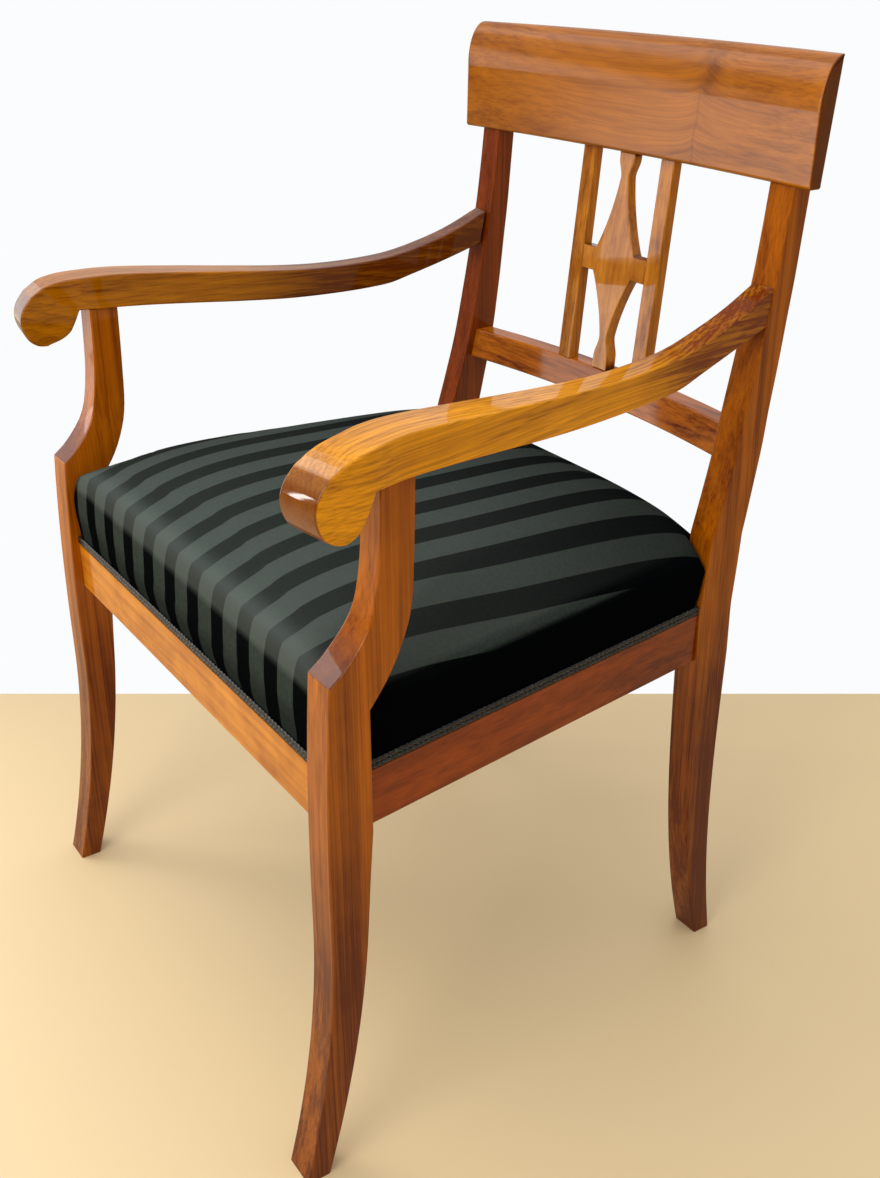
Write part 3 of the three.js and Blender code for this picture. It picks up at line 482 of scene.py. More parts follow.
def back_leg_rear(z):
    """The leg thickens as a power of the height from the foot to the rails, the post thins along
    its own curve, and the tongue's top is cut off at 45 degrees."""
    grown = np.minimum(z / rail_under, 1) ** back_leg_growth
    depth = (mix(grown, back_foot_depth, back_leg_depth)
             - (back_leg_depth - post_top_depth) * post_taper(post_share(z)))
    return back_leg_front(z) + depth - np.maximum(z - crest_under - tongue_height + tongue_bevel, 0)


crest_peak = crest_under + crest_height
crest_half = crest_width / 2
crest_foot = float(back_leg_front(crest_under)) - crest_proud


def arch(x, half):
    """A flat parabola: 1 in the middle and 0 at the half width."""
    return 1 - (x / half) ** 2


def crest_rise(z):
    """How far up the crest rail a height lies, as a share."""
    return share_of(z, crest_under, crest_peak)


def crest_bow(x, z):
    """How far the crest rail's sections stand back of the posts, along a flat parabola."""
    bow = mix(crest_rise(z), crest_bow_low, crest_bow_high)
    return bow * (post_middle**2 - x**2) / crest_half**2


def crest_back(x, z):
    """The crest rail's rear face: it leans from the foot's thickness to the top's rear edge."""
    deep = crest_thick + crest_swell * arch(x, crest_half)
    return crest_foot + mix(crest_rise(z), deep, crest_top) + crest_bow(x, z)


def back_leg():
    """Rings of the leg at each height. Above the crest rail's underside the front of the ring
    lies against the rail's rear face."""
    crease = mix(crease_share, seat_top, crest_under)
    top = crest_under + tongue_height
    z = np.concatenate([stations(0, rail_under, crease, crest_under - fit),
                        stations(crest_under, top - tongue_bevel, top)])
    front = back_leg_front(z)
    a, b = eased(back_leg_rear(z) - front, post_thick, arris)
    x = post_inner + leg_splay(z) + b
    y = front + a
    return x, np.where(z >= crest_under, np.maximum(y, crest_back(x, z) + fit), y), z


for side, sign in sides:
    # Painted shade: the left post, further from the camera, gets darker copies of the right post's
    # colours, and each leg is painted darker towards its foot.
    light, deep = ((142, 60, 4), (70, 20, 0)) if side == "left" else ((176, 94, 0), (88, 28, 0))
    board(f"leg_and_post_{side}", f"back_leg_{side}", back_leg(), sign, (0, 90, 0), light, deep,
          ring_gap=0.011, rings=0.14, bands=0.38, streaks=0.3, mottle=0.14, wander=0.006,
          pith=(0, 0.05, 0.04), shift=(0.2, 0.05 * sign, 0.1), heart=0.48, heart_start=0.62,
          heart_end=0.44)


# Seat rails. Four flat boards tenoned into the legs; the side rails slant inwards to the back.
# Their faces are sawn, planed and varnished, and their tenons are hidden in the legs.

rail_finish = cherry("cherry_seat_rail", (0, 0, 0), (214, 136, 24), (146, 70, 2), ring_gap=0.014,
                     rings=0.12, bands=0.3, streaks=0.16, mottle=0.4, wander=0.03,
                     pith=(0.1, 0.25, 0.09))
# The side rails are painted darker towards the back: painted shade.
side_rail_finish = cherry("cherry_side_rail", (0, 0, 90), (162, 68, 0), (84, 22, 0),
                          ring_gap=0.012, rings=0.12, bands=0.34, streaks=0.2, mottle=0.24,
                          wander=0.02, pith=(0.2, 0.3, 0.06), heart=0.3, heart_start=0.08,
                          heart_end=-0.14)


def dressed(finish, slot, *names):
    """CAD nodes that keep their shape and get their finish."""
    for name in names:
        nodes[name].data.materials.clear()
        nodes[name].data.materials.append(finish)


dressed(rail_finish, "varnished_cherry", "front_rail", "back_rail")
dressed(side_rail_finish, "varnished_cherry", "side_rail_left", "side_rail_right")


# Crest rail. A thin board of figured cherry, bowed backwards, whose top rolls over to a sharp
# rear edge. It is half-lapped over the posts' tongues and screwed from behind.

roll_start = crest_peak - crest_roll


def outline_normals(outline):
    """Unit normals of a closed outline's points, square to the chord between their neighbours."""
    chord = np.roll(outline, -1, axis=0) - np.roll(outline, 1, axis=0)
    square = np.stack([chord[:, 1], -chord[:, 0]], 1)
    return square / np.linalg.norm(square, axis=1)[:, None]


def crest_outline():
    """The rail's section as (depth, height) points: a flat foot, a leaning face, a quarter ellipse
    over the top and a straight back."""
    turn = np.linspace(0, np.pi / 2, 19)
    deep = crest_top - crest_face_lean
    roll = np.stack([crest_top - deep * np.cos(turn), roll_start + crest_roll * np.sin(turn)], 1)
    face = [(0, crest_under + arris), (0.02, crest_under + 2 * arris), (crest_face_lean, roll_start - 1)]
    rear = [(crest_top, crest_peak - 1), (crest_thick, crest_under + 2 * arris),
            (crest_thick, crest_under + arris), (crest_thick - arris, crest_under)]
    return np.array([*face, *roll, *rear, (arris, crest_under)])


def crest_rail():
    """The outline at each place along the rail. At either end it draws in along a quarter circle,
    which eases the end's arris."""
    outline = crest_outline()
    square = outline_normals(outline)
    away = np.sign(((outline - outline.mean(axis=0)) * square).sum())
    turn = np.radians([0, 25, 50, 75, 90])
    ease = arris * (1 - np.sin(turn))
    close = crest_half - arris * (1 - np.cos(turn))
    body = np.linspace(-crest_half + 2 * arris, crest_half - 2 * arris, 61)
    x = np.concatenate([-close, body, close[::-1]])[:, None]
    inset = np.concatenate([ease, 0 * body, ease[::-1]])[:, None]
    depth, z = (outline[:, i] - away * inset * square[:, i] for i in (0, 1))
    rear = np.clip(depth / crest_thick * (1 - crest_rise(z)), 0, 1)
    return x, crest_foot + depth + crest_swell * arch(x, crest_half) * rear + crest_bow(x, z), z


crest_finish = board("crest_rail_board", "crest_rail", crest_rail(), 1, (0, 0, 0), (182, 106, 4),
                     (104, 46, 0), gloss=0.085, ring_gap=0.0105, rings=0.1, bands=0.36,
                     streaks=0.26, mottle=0.1, wander=0.03, tilt=0.2, pith=(0, -0.32, -0.893))


def crotch(finish, line, bend, reach):
    """Where a branch left the log: the grain rises to an upright line as an exponential of the
    distance from it, and the line is a thin dark feather with a smudge beside its top, which
    fades as a bell curve."""
    half_wobble = 0.004
    feather_wide, feather_core, feather_share = 0.0028, 0.0004, 0.26
    smudge_aside, smudge_wide = 0.009, 0.011
    smudge_height, smudge_high, smudge_share = 0.872, 0.02, 0.5
    tree = finish.node_tree
    wood = next(n for n in tree.nodes if n.bl_idname == "ShaderNodeGroup")
    place = wood.inputs["Place"].links[0].from_socket
    x, y, z = split(place)
    wobble = maths("MULTIPLY_ADD", noise(place, 45.0, 3.0), 2 * half_wobble, -half_wobble - line)
    aside = maths("ADD", x, wobble)
    apart = maths("ABSOLUTE", aside)
    rise = maths("MULTIPLY", maths("EXPONENT", maths("MULTIPLY", apart, -1 / reach)), -bend)
    feed(wood, ("Place", worked("CombineXYZ", (x, y, maths("ADD", z, rise)))[0]))
    feather = ramp(apart, feather_wide, feather_core, 0.0, feather_share)
    beside = maths("DIVIDE", maths("SUBTRACT", aside, smudge_aside), smudge_wide)
    above = maths("DIVIDE", maths("SUBTRACT", z, smudge_height), smudge_high)
    fall = maths("EXPONENT", maths("MULTIPLY", squared(beside, above), -1.0))
    smudge = maths("MULTIPLY", fall, smudge_share)
    mark = maths("MAXIMUM", feather, smudge)
    stained = blend_colours(mark, wood.outputs["Color"], colour(72, 28, 8))
    feed(tree.nodes["Principled BSDF"], ("Base Color", stained))


crotch(crest_finish, 0.096, 0.011, 0.022)


# Cross rail. A narrower rail, bowed like the crest rail and tenoned between the posts, which
# carries the foot of the splat.

cross_under = 543.0
cross_height = 31.5
cross_depth = 22.0
cross_set = 8.0
cross_bow = 17.0
cross_bite = 0.2


def cross_face(x, z):
    """The rail's front: set back from the posts' and bowed along a flat parabola."""
    return back_leg_front(z) + cross_set + cross_bow * arch(x, post_inner)


def cross_rail():
    """Eased rectangles along the bow, from post to post and a hair into each."""
    x = np.linspace(-post_inner - cross_bite, post_inner + cross_bite, 65)[:, None]
    a, b = eased(cross_height, cross_depth, arris)
    return x, cross_face(x, cross_under + a) + b, cross_under + a


board("cross_rail_board", "cross_rail", cross_rail(), 1, (0, 0, 0), (190, 104, 10), (94, 30, 0),
      ring_gap=0.01, rings=0.2, bands=0.55, streaks=0.34, mottle=0.14, wander=0.012,
      pith=(0, -0.2, -0.5))


# Splat. Two upright bars, and between them a fretsawn figure whose ears reach across to the bars.
# All three are tenoned into the rails; the figure's outline is sawn and its arrises are eased.

splat_foot = cross_under + cross_height + fit
splat_head = crest_under - fit
splat_middle = (splat_foot + splat_head) / 2
splat_thick_foot = 13.0
splat_thick_top = 10.0
splat_proud = 1.5
splat_behind_crest = 6.0
splat_face_foot = float(cross_face(0, cross_under + cross_height)) - splat_proud
splat_face_head = crest_foot + crest_bow_low * (post_middle / crest_half) ** 2 + splat_behind_crest
bar_gap = 96.0
bar_wide = 20.0


def splat_place(z, share):
    """The depth of a share of the splat's thickness behind its leaning face."""
    rise = share_of(z, splat_foot, splat_head)
    thick = mix(rise, splat_thick_foot, splat_thick_top)
    return mix(rise, splat_face_foot, splat_face_head) + thick * share


def splat_bar():
    """Eased rectangles up the bar, which leans and thins as the splat does."""
    z = np.linspace(splat_foot, splat_head, 13)[:, None]
    a, b = eased(splat_place(z, 1) - splat_place(z, 0), bar_wide, arris)
    return bar_gap / 2 + b, splat_place(z, 0) + a, z


def figure_quarter(cap_high, neck_drop, neck_wide, pull):
    """Half widths and heights from the ear's end to a cap: a flat ear, a flank that is a
    quadratic curve up to the neck, a cove that is a cubic curve, and the cap."""
    cap, shoulder, ear, cove_pull = 11.3, 29.5, 11.75, 0.4
    half = (splat_head - splat_foot) / 2
    cap_low = half - cap_high
    neck_high = cap_low - neck_drop
    neck = neck_wide / 2
    t = np.linspace(0, 1, 25)[:, None]
    bend = [neck + (shoulder - neck) * pull[0], ear + (neck_high - ear) * pull[1]]
    flank = ((1 - t) ** 2 * [shoulder, ear] + 2 * t * (1 - t) * bend + t**2 * [neck, neck_high])
    reach = neck_drop * cove_pull
    cove = ((1 - t) ** 3 * [neck, neck_high] + 3 * t * (1 - t) ** 2 * [neck, neck_high + reach]
            + 3 * t**2 * (1 - t) * [cap, cap_low - reach] + t**3 * [cap, cap_low])
    return np.concatenate([[[bar_gap / 2 - fit, ear]], flank, cove[1:], [[cap, half]]])


def figure():
    """The figure's whole outline, drawn in along a quarter circle at its two faces."""
    foot = figure_quarter(12, 22, 12, (0.22, 0.53)) * [1, -1]
    head = figure_quarter(6, 18.4, 12.4, (0.22, 0.49))
    right = np.concatenate([foot[::-1], head])
    outline = np.concatenate([right, right[::-1] * [-1, 1]])
    square = outline_normals(outline)
    turn = np.radians([0, 30, 60, 90])
    ease = 0.8 * arris
    inset = ease * np.concatenate([1 - np.sin(turn), 1 - np.sin(turn[::-1])])[:, None]
    deep = ease * np.concatenate([1 - np.cos(turn), np.cos(turn[::-1]) - 1])[:, None]
    x, z = (outline[:, i] - inset * square[:, i] for i in (0, 1))
    share = np.repeat([0.0, 1.0], len(turn))[:, None]
    return x, splat_place(splat_middle + z, share) + deep, splat_middle + z


for side, sign in sides:
    board(f"splat_upright_{side}", f"splat_bar_{side}", splat_bar(), sign, (0, 90, 0),
          (204, 128, 32), (112, 48, 4), rings=0.16, bands=0.44, streaks=0.3, mottle=0.2,
          wander=0.01, pith=(0, 0.05, 0.05), shift=(0.1 * sign, 0.2, 0))
board("splat_fretwork", "splat_figure", figure(), 1, (0, 90, 0), (206, 132, 40), (124, 56, 8),
      rings=0.14, bands=0.4, streaks=0.24, mottle=0.2, wander=0.012, pith=(0, 0.08, 0.02))


# Arms. Each is sawn from a thick board, curving in plan and in elevation, and its front end is
# sawn and rounded into a scroll. It sits on the support's tenon and butts against the post.

roll_radius = 23.5
roll_set = 8.0
roll_centre = arm_under - 8.5
roll_shares = [
    (1.2, 0.47), (0.85, -0.27), (0.5, -0.79), (0.05, -1), (-0.37, -0.94), (-0.72, -0.68),
    (-0.94, -0.23), (-0.98, 0.25), (-0.82, 0.68), (-0.51, 1.06),
]
arm_start = 12.0
arm_outer_front = front_leg_outer + 19.1
arm_front_wide = 41.0
arm_back_wide = 24.0
arm_outer_back = post_outer - 1.5
arm_back_rise = 60.5
arm_skew_share = 0.148
arm_outer = through([
    (0, 0), (0.04, 0.025), (0.09, 0.1), (0.18, 0.195), (0.3, 0.33), (0.41, 0.46), (0.52, 0.592),
    (0.63, 0.705), (0.75, 0.81), (0.88, 0.92), (1, 1),
])
arm_wide = through([
    (0, 1), (0.08, 1.08), (0.18, 0.94), (0.3, 0.71), (0.42, 0.49), (0.55, 0.31), (0.7, 0.17),
    (0.85, 0.1), (1, 0),
])
arm_top = through([
    (-0.032, 0.287), (0, 0.44), (0.03, 0.503), (0.1, 0.552), (0.15, 0.55), (0.27, 0.48),
    (0.4, 0.387), (0.52, 0.31), (0.6, 0.287), (0.7, 0.312), (0.77, 0.372), (0.85, 0.527),
    (0.92, 0.711), (1, 1),
])
arm_belly = through([
    (-0.04, 0), (0.06, 0), (0.13, 0), (0.2, -0.022), (0.3, -0.078), (0.4, -0.14), (0.52, -0.19),
    (0.63, -0.19), (0.71, -0.163), (0.76, -0.12), (0.81, -0.01), (0.87, 0.125), (0.93, 0.27),
    (1, 0.45),
])
arm_end = float(back_leg_front(arm_under + arm_back_rise))
arm_arris = 2.0
notch_flare = 10.0
notch_step = 1.2
brow_share = -0.03
roll_rings = 46
arm_rings = 75


def along(points, count):
    """Evenly spaced points along a smooth line through the given ones."""
    points = np.array(points, float)
    run = np.concatenate([[0], np.cumsum(np.linalg.norm(np.diff(points, axis=0), axis=1))])
    at = np.linspace(0, run[-1], count)
    return np.stack([through(np.stack([run, points[:, i]], 1))(at) for i in (0, 1)], 1)


def arm():
    """Rings between two lines of the side view, an upper one and a lower one: along the arm both
    run back together, and at the scroll the upper one goes round its front and the lower one down
    its rear, until they meet under it. Each ring spans the arm's width at its own place."""
    scroll = np.array(roll_shares) * roll_radius + [roll_set, roll_centre]
    notch = [scroll[0, 0] - notch_step, arm_under]
    start = share_of(notch[0], arm_start, arm_end)
    crease = start + 0.0006
    shares = np.concatenate([[crease], np.linspace(start, 1, arm_rings)[1:-1]])

    def side_view(curve, share):
        """The depths and heights of one of the arm's lines."""
        height = arm_under + arm_back_rise * curve(share)
        return np.stack([mix(share, arm_start, arm_end), height], 1)

    brow = side_view(arm_top, np.linspace(start, brow_share, 9))
    over = along([*brow, *scroll[:2:-1]], roll_rings)
    rear = along([notch, *scroll[1:4]], roll_rings)
    lines = []
    for roll, curve in ((over, arm_top), (rear, arm_belly)):
        end = float(arm_under + arm_back_rise * curve(1.0))
        at_post = [[float(back_leg_front(end)) - fit, end]]
        lines.append(np.concatenate([roll[-2::-1], side_view(curve, shares), at_post]))
    upper, lower = lines
    height = np.linalg.norm(upper - lower, axis=1)[:, None]
    a, b = eased(height, arm_front_wide, arm_arris)
    y, z = (lower[:, [i]] + (upper - lower)[:, [i]] / height * a for i in (0, 1))
    place = share_of(y, arm_start, arm_end)
    outer = mix(arm_outer(place), arm_outer_front, arm_outer_back)
    wide = mix(arm_wide(place), arm_back_wide, arm_front_wide)
    middle = b / arm_front_wide
    edge = np.minimum(b, arm_front_wide - b)
    near = np.where(middle > 0.5, wide - edge, edge)
    across = np.where(edge > arm_arris, wide * middle, near)
    x = outer - wide + across
    low = np.arange(len(y))[:, None] / roll_rings
    behind = smoothstep(low, 0, 0.5) * (1 - smoothstep(low, 1, 1.2))
    flare = notch_flare * behind * (1 - a / height) * (1 - across / wide)
    return x, y + arm_skew_share * (x - outer) + flare, z


for side, sign in sides:
    # Painted shade: the left arm gets darker copies of the right arm's colours, and each arm is painted
    # darker towards its back.
    light, deep, start = (190, 116, 0), (96, 40, 0), -0.1
    if side == "right":
        light, deep, start = (244, 162, 0), (114, 45, 0), 0.0
    board(f"scrolled_arm_{side}", f"arm_{side}", arm(), sign, (0, 0, -90 - 10 * sign), light, deep,
          ring_gap=0.0042, rings=0.26, bands=0.3, streaks=0.28, mottle=0.1, wander=0.005,
          tilt=0.02, pith=(0, 0.06, -0.52), heart=0.6, heart_start=start, heart_end=start + 0.12)


# Corner blocks, dowels and screws. The blocks are planed beech, glued into the corners under the
# seat; plain wood screws hold the pad's frame and the crest rail.


def plain_wood():
    """Bare beech: pale, with short darker flecks along the grain."""
    finish, shader, place = new_finish("planed_beech")
    long = vectors("MULTIPLY", place, (60, 700, 700))
    fleck = noise(long, 1.0, 3.0)
    mixed = blend_colours(ramp(fleck, 0.42, 0.68), colour(214, 180, 130), colour(176, 132, 84))
    feed(shader, ("Base Color", mixed), ("Roughness", 0.62),
         ("Normal", embossed(fleck, 0.2, 0.0003)))
    return finish


def screw_steel():
    """Dull steel with faint turning marks in its roughness."""
    finish, shader, place = new_finish("screw_steel")
    marks = noise(place, 900.0, 3.0)
    shade = blend_colours(marks, colour(150, 148, 142), colour(190, 188, 182))
    feed(shader, ("Base Color", shade), ("Roughness", ramp(marks, 0.0, 1.0, 0.28, 0.5)),
         ("Metallic", 1.0))
    return finish


beech = plain_wood()
steel = screw_steel()
for side, _ in sides:
    dressed(beech, "beech", f"corner_block_front_{side}", f"corner_block_back_{side}",
            f"splat_dowel_{side}", f"pad_board_side_{side}")
    dressed(steel, "steel", f"seat_screw_front_{side}", f"seat_screw_back_{side}",
            f"crest_screw_lower_{side}", f"crest_screw_upper_{side}")
dressed(beech, "beech", "pad_board_front", "pad_board_back")


# Webbing and dust cover. Jute straps are stretched across the pad's frame, and a thin black
# cloth closes the seat from below.


def weave_group():
    """Plain weave: threads one way go over and under threads the other way, as the product of two
    sine waves, with a little noise in each thread."""
    tree, given, result = new_group("plain_weave", [("Place", (0, 0, 0)), ("Threads", 1000.0)],
                                    [("Over", "Float"), ("Height", "Float"), ("Fuzz", "Float")])
    wobble = noise(given["Place"], 260.0, 2.0)
    parts = split(given["Place"])
    turns = maths("MULTIPLY", given["Threads"], np.pi)
    warp, weft = (maths("SINE", maths("MULTIPLY", parts[i], turns)) for i in (0, 1))
    height = maths("MAXIMUM", maths("ABSOLUTE", warp), maths("ABSOLUTE", weft))
    feed(result, ("Over", maths("GREATER_THAN", maths("MULTIPLY", warp, weft), 0.0)),
         ("Height", maths("MULTIPLY_ADD", wobble, 0.4, height)), ("Fuzz", wobble))
    return tree


weave = weave_group()


def woven_at(place, threads):
    """The outputs of the weave at a place, with so many threads to the metre."""
    return add_node(place.id_data, "Group", ("Place", place), ("Threads", threads),
                    node_tree=weave).outputs


def woven(name, pale, deep, threads):
    """A plain woven cloth in one colour, paler where a thread passes over."""
    finish, shader, place = new_finish(name)
    cloth = woven_at(place, threads)
    share = maths("MULTIPLY_ADD", cloth["Over"], 0.5, maths("MULTIPLY", cloth["Fuzz"], 0.5))
    feed(shader, ("Base Color", blend_colours(share, colour(*deep), colour(*pale))),
         ("Roughness", 0.9), ("Normal", embossed(cloth["Height"], 0.6, 0.0004)))
    return finish


jute = woven("jute_webbing", (176, 144, 98), (120, 92, 56), 420.0)
lining = woven("black_lining", (44, 44, 47), (20, 20, 22), 900.0)
dressed(jute, "jute_webbing", *(f"webbing_lengthwise_{i}" for i in (1, 2, 3, 4)),
        *(f"webbing_across_{i}" for i in (1, 2, 3)))
dressed(lining, "black_lining", "dust_cover")


# Seat cushion. A stuffed pad under a striped satin that is pulled over its crown and tacked to
# the rails, so the front edge is crisp, the sides belly out a little above the braid and the
# cover is notched round the legs. Air pressure on a trial cover says how its sides belly out.

side_face_front = front_leg_outer - 10.3
side_face_back = post_outer + float(leg_splay(seat_top)) - 2.4
side_slope = (side_face_front - side_face_back) / (seat_depth - front_leg_depth)
pad_front = 3.0
pad_back = 474.0
pad_turn = 445.0
pad_edge = 478.4
pad_rake = 5.1
pad_crown = 39.3
pad_front_radius = 9.2
pad_back_radius = 52.0
pad_side_radius = 72.7
gimp_low = seat_top + fit
gimp_top = gimp_low + 9
pad_middle = (pad_front + pad_back) / 2
pad_half_deep = (pad_back - pad_front) / 2
pad_draw_in = 3.3
pad_clear = 1.2
pad_proud = 1.0
pad_lift = 1.0
tuck_deep = 5.0
tuck_wide = 6.0
swell_side, swell_front, swell_back = 4.4, 3.7, 5.2
notch_corners = (46.5, 133.5, 229.5, 310.5)
notch_spread = 8


def pad_half_wide(y):
    """Half of the pad's width, which narrows evenly to the back."""
    return side_face_front - side_slope * (y - front_leg_depth) + pad_proud


def pad_height(u, v):
    """The crown's height: an ellipse of each edge's own radius at the sides, front and back, and
    over the whole pad a swell that falls off as high powers of the two directions."""
    y = pad_middle + pad_half_deep * v
    side_gap = np.minimum(pad_half_wide(y) * (1 - np.abs(u)) / pad_side_radius, 1)
    radius = np.where(v < 0, pad_front_radius, pad_back_radius)
    end_gap = np.minimum(pad_half_deep * (1 - np.abs(v)) / radius, 1)
    rounded = np.sqrt(1 - (1 - side_gap) ** 2) * np.sqrt(1 - (1 - end_gap) ** 2)
    falls = np.where(v < 0, swell_front, swell_back)
    swell = (1 - np.abs(u) ** swell_side) * (1 - np.abs(v) ** falls)
    full = pad_edge - pad_turn - pad_rake * v + pad_crown * swell
    return pad_turn + full * rounded


def notch_share(u, v, z):
    """How far out from the pad's middle each direction runs, as a share, before it comes within
    the clearance of a leg at the given height: the first of many steps that would."""
    step = np.linspace(0.5, 1, 1200)
    y = pad_middle + pad_half_deep * v[:, None] * step
    x = np.abs(pad_half_wide(y) * u[:, None] * step)
    z = z[:, None]
    front = (x > front_leg_inner + narrowed(z) - pad_clear) & (y < front_leg_rear(z) + pad_clear)
    back = (x > post_inner + leg_splay(z) - pad_clear) & (y > back_leg_front(z) - pad_clear)
    hit = front | back
    return np.where(hit.any(axis=1), step[hit.argmax(axis=1)], 1.0)


def pad_directions():
    """Directions round the pad's square plan, closer together where the legs stand."""
    turn = [np.linspace(0, 2 * np.pi, 181)[:-1]]
    for corner in notch_corners:
        turn.append(np.radians(np.linspace(corner - notch_spread, corner + notch_spread, 41)))
    turn = np.unique(np.round(np.concatenate(turn), 5))
    square = np.stack([np.cos(turn), np.sin(turn)])
    return square / np.abs(square).max(axis=0)


def pad_grid(shrink):
    """The pad as rings, from the middle of its underside out, up its drawn-in sides and in over its
    crown. Each ring is the square plan, cut back round the legs, times one share."""
    u, v = pad_directions()
    foot = seat_top + pad_lift
    top = pad_height(u, v)
    for _ in range(3):
        cut = notch_share(u, v, top)
        top = np.maximum(pad_height(u * cut, v * cut) - tuck_deep * (cut < 1), pad_turn)
    rings = []

    def ring(share, height, inset):
        """Adds one ring: the plan less the inset, times the share, at the height."""
        y = pad_middle + (pad_half_deep - inset) * v * share
        rings.append(np.broadcast_arrays((pad_half_wide(y) - inset) * u * share, y, height))

    for share in (0.02, 0.3, 0.6, 0.85):
        ring(share, foot, pad_draw_in)
    for rise in np.linspace(0, 1, 15)[:-1]:
        z = mix(rise, foot, top - shrink)
        drawn = pad_draw_in * np.clip(1 - share_of(z, gimp_top, pad_turn), 0, 1) ** 2
        ring(notch_share(u, v, z), z, drawn + shrink * smoothstep(z, gimp_top, pad_turn))
    gap = np.interp(np.arange(53), (0, 8, 17, 52), (0, 0.04, 0.15, 0.985))
    for share in 1 - gap:
        tuck = (cut < 1) * np.maximum(1 - (1 - share) * pad_half_deep / tuck_wide, 0) ** 2
        crown = pad_height(u * cut * share, v * cut * share) - tuck_deep * tuck
        ring(cut * share, np.maximum(crown, pad_turn) - shrink, shrink)
    return np.array(rings).transpose(1, 0, 2)


def vertices(piece):
    """The points of a piece, in metres."""
    points = np.zeros(len(piece.data.vertices) * 3, np.float32)
    piece.data.vertices.foreach_get("co", points)
    return points.reshape(-1, 3).astype(float)


def applied(piece):
    """Turns a piece's modifiers into its mesh."""
    bpy.context.view_layer.update()
    shaped = piece.evaluated_get(bpy.context.evaluated_depsgraph_get())
    mesh = bpy.data.meshes.new_from_object(shaped)
    piece.modifiers.clear()
    old = piece.data
    piece.data = mesh
    bpy.data.meshes.remove(old)


def blown_out(grid, frames):
    """A trial cover, remeshed in even squares, is blown out by air pressure with its foot held.
    Gives where its points were and how far each one moved."""
    trial = skinned("trial_cover", grid)
    even = trial.modifiers.new("even", "REMESH")
    even.mode = "VOXEL"
    even.voxel_size = 0.006
    applied(trial)
    rest = vertices(trial)
    held = trial.vertex_groups.new(name="tacked")
    low = np.flatnonzero(rest[:, 2] < (gimp_top + 1) * metre)
    held.add(low.tolist(), 1.0, "REPLACE")
    cloth = trial.modifiers.new("cloth", "CLOTH")
    for name, value in (("vertex_group_mass", "tacked"), ("quality", 6), ("mass", 0.3),
                        ("tension_stiffness", 30), ("compression_stiffness", 30),
                        ("shear_stiffness", 12), ("bending_stiffness", 2), ("use_pressure", True),
                        ("uniform_pressure_force", 4.0)):
        setattr(cloth.settings, name, value)
    cloth.settings.effector_weights.gravity = 0
    cloth.collision_settings.use_collision = False
    cloth.point_cache.frame_start = 1
    cloth.point_cache.frame_end = frames
    for number in range(1, frames + 1):
        bpy.context.scene.frame_set(number)
    applied(trial)
    moved = vertices(trial) - rest
    bpy.context.scene.frame_set(1)
    bpy.data.objects.remove(trial)
    return rest, moved


def carried(piece, rest, moved, reach):
    """Lets a piece settle as the trial did. Its grid has the pad's fullness already, so each point
    goes along its normal only by how far its neighbours' mean movement, weighted by a bell curve
    of 25 mm, differs from the middle one, and by no more than the reach. This fades out down to
    the foot, which is tacked."""
    bell, fade, rows = 0.025, 12, 1000
    points = vertices(piece)
    result = np.zeros_like(points)
    rest, moved = rest[::2].astype(np.float32), moved[::2].astype(np.float32)
    for first in range(0, len(points), rows):
        part = points[first:first + rows].astype(np.float32)
        apart = (part**2).sum(1)[:, None] + (rest**2).sum(1)[None] - 2 * part @ rest.T
        weight = np.exp(-apart / (2 * bell**2))
        result[first:first + rows] = weight @ moved / np.maximum(weight.sum(1), 1e-9)[:, None]
    normal = np.zeros(points.size, np.float32)
    piece.data.vertex_normals.foreach_get("vector", normal)
    normal = normal.reshape(-1, 3)
    outwards = (result * normal).sum(axis=1)
    outwards = np.clip(outwards - np.median(outwards), -reach * metre, reach * metre)
    free = smoothstep(points[:, 2] / metre, gimp_top, gimp_top + fade)
    settled = points + normal * (outwards * free)[:, None]
    piece.data.vertices.foreach_set("co", settled.astype(np.float32).ravel())


stripe_period = 0.0496
creep_front, creep_more, creep_end = 14, 9, 240
# Painted shade on the cover: a line and fade down the sides, a share, top and fade on the front, and a
# share and span towards the back.
shade_line, shade_fade = 459.5, 2.5
front_shade, upright_top, upright_fade = 0.5, pad_turn + 8, 34
back_shade, leaning_start, leaning_end = 0.42, 190, 450
# Painted sheen on the cover: a height band, a share at the front and at the back, and a band above the
# front edge.
sheen_low, sheen_high = pad_turn + 18.5, pad_turn + 25.5
sheen_front, sheen_back = 0.37, 0.1
bend_sheen, bend_place, bend_spread = 0.28, pad_front + 12, 11


def painted(piece, name, values):
    """Gives each point of a piece a value that its finish reads."""
    made = piece.data.attributes.new(name, "FLOAT", "POINT")
    made.data.foreach_set("value", values.astype(np.float32).ravel())


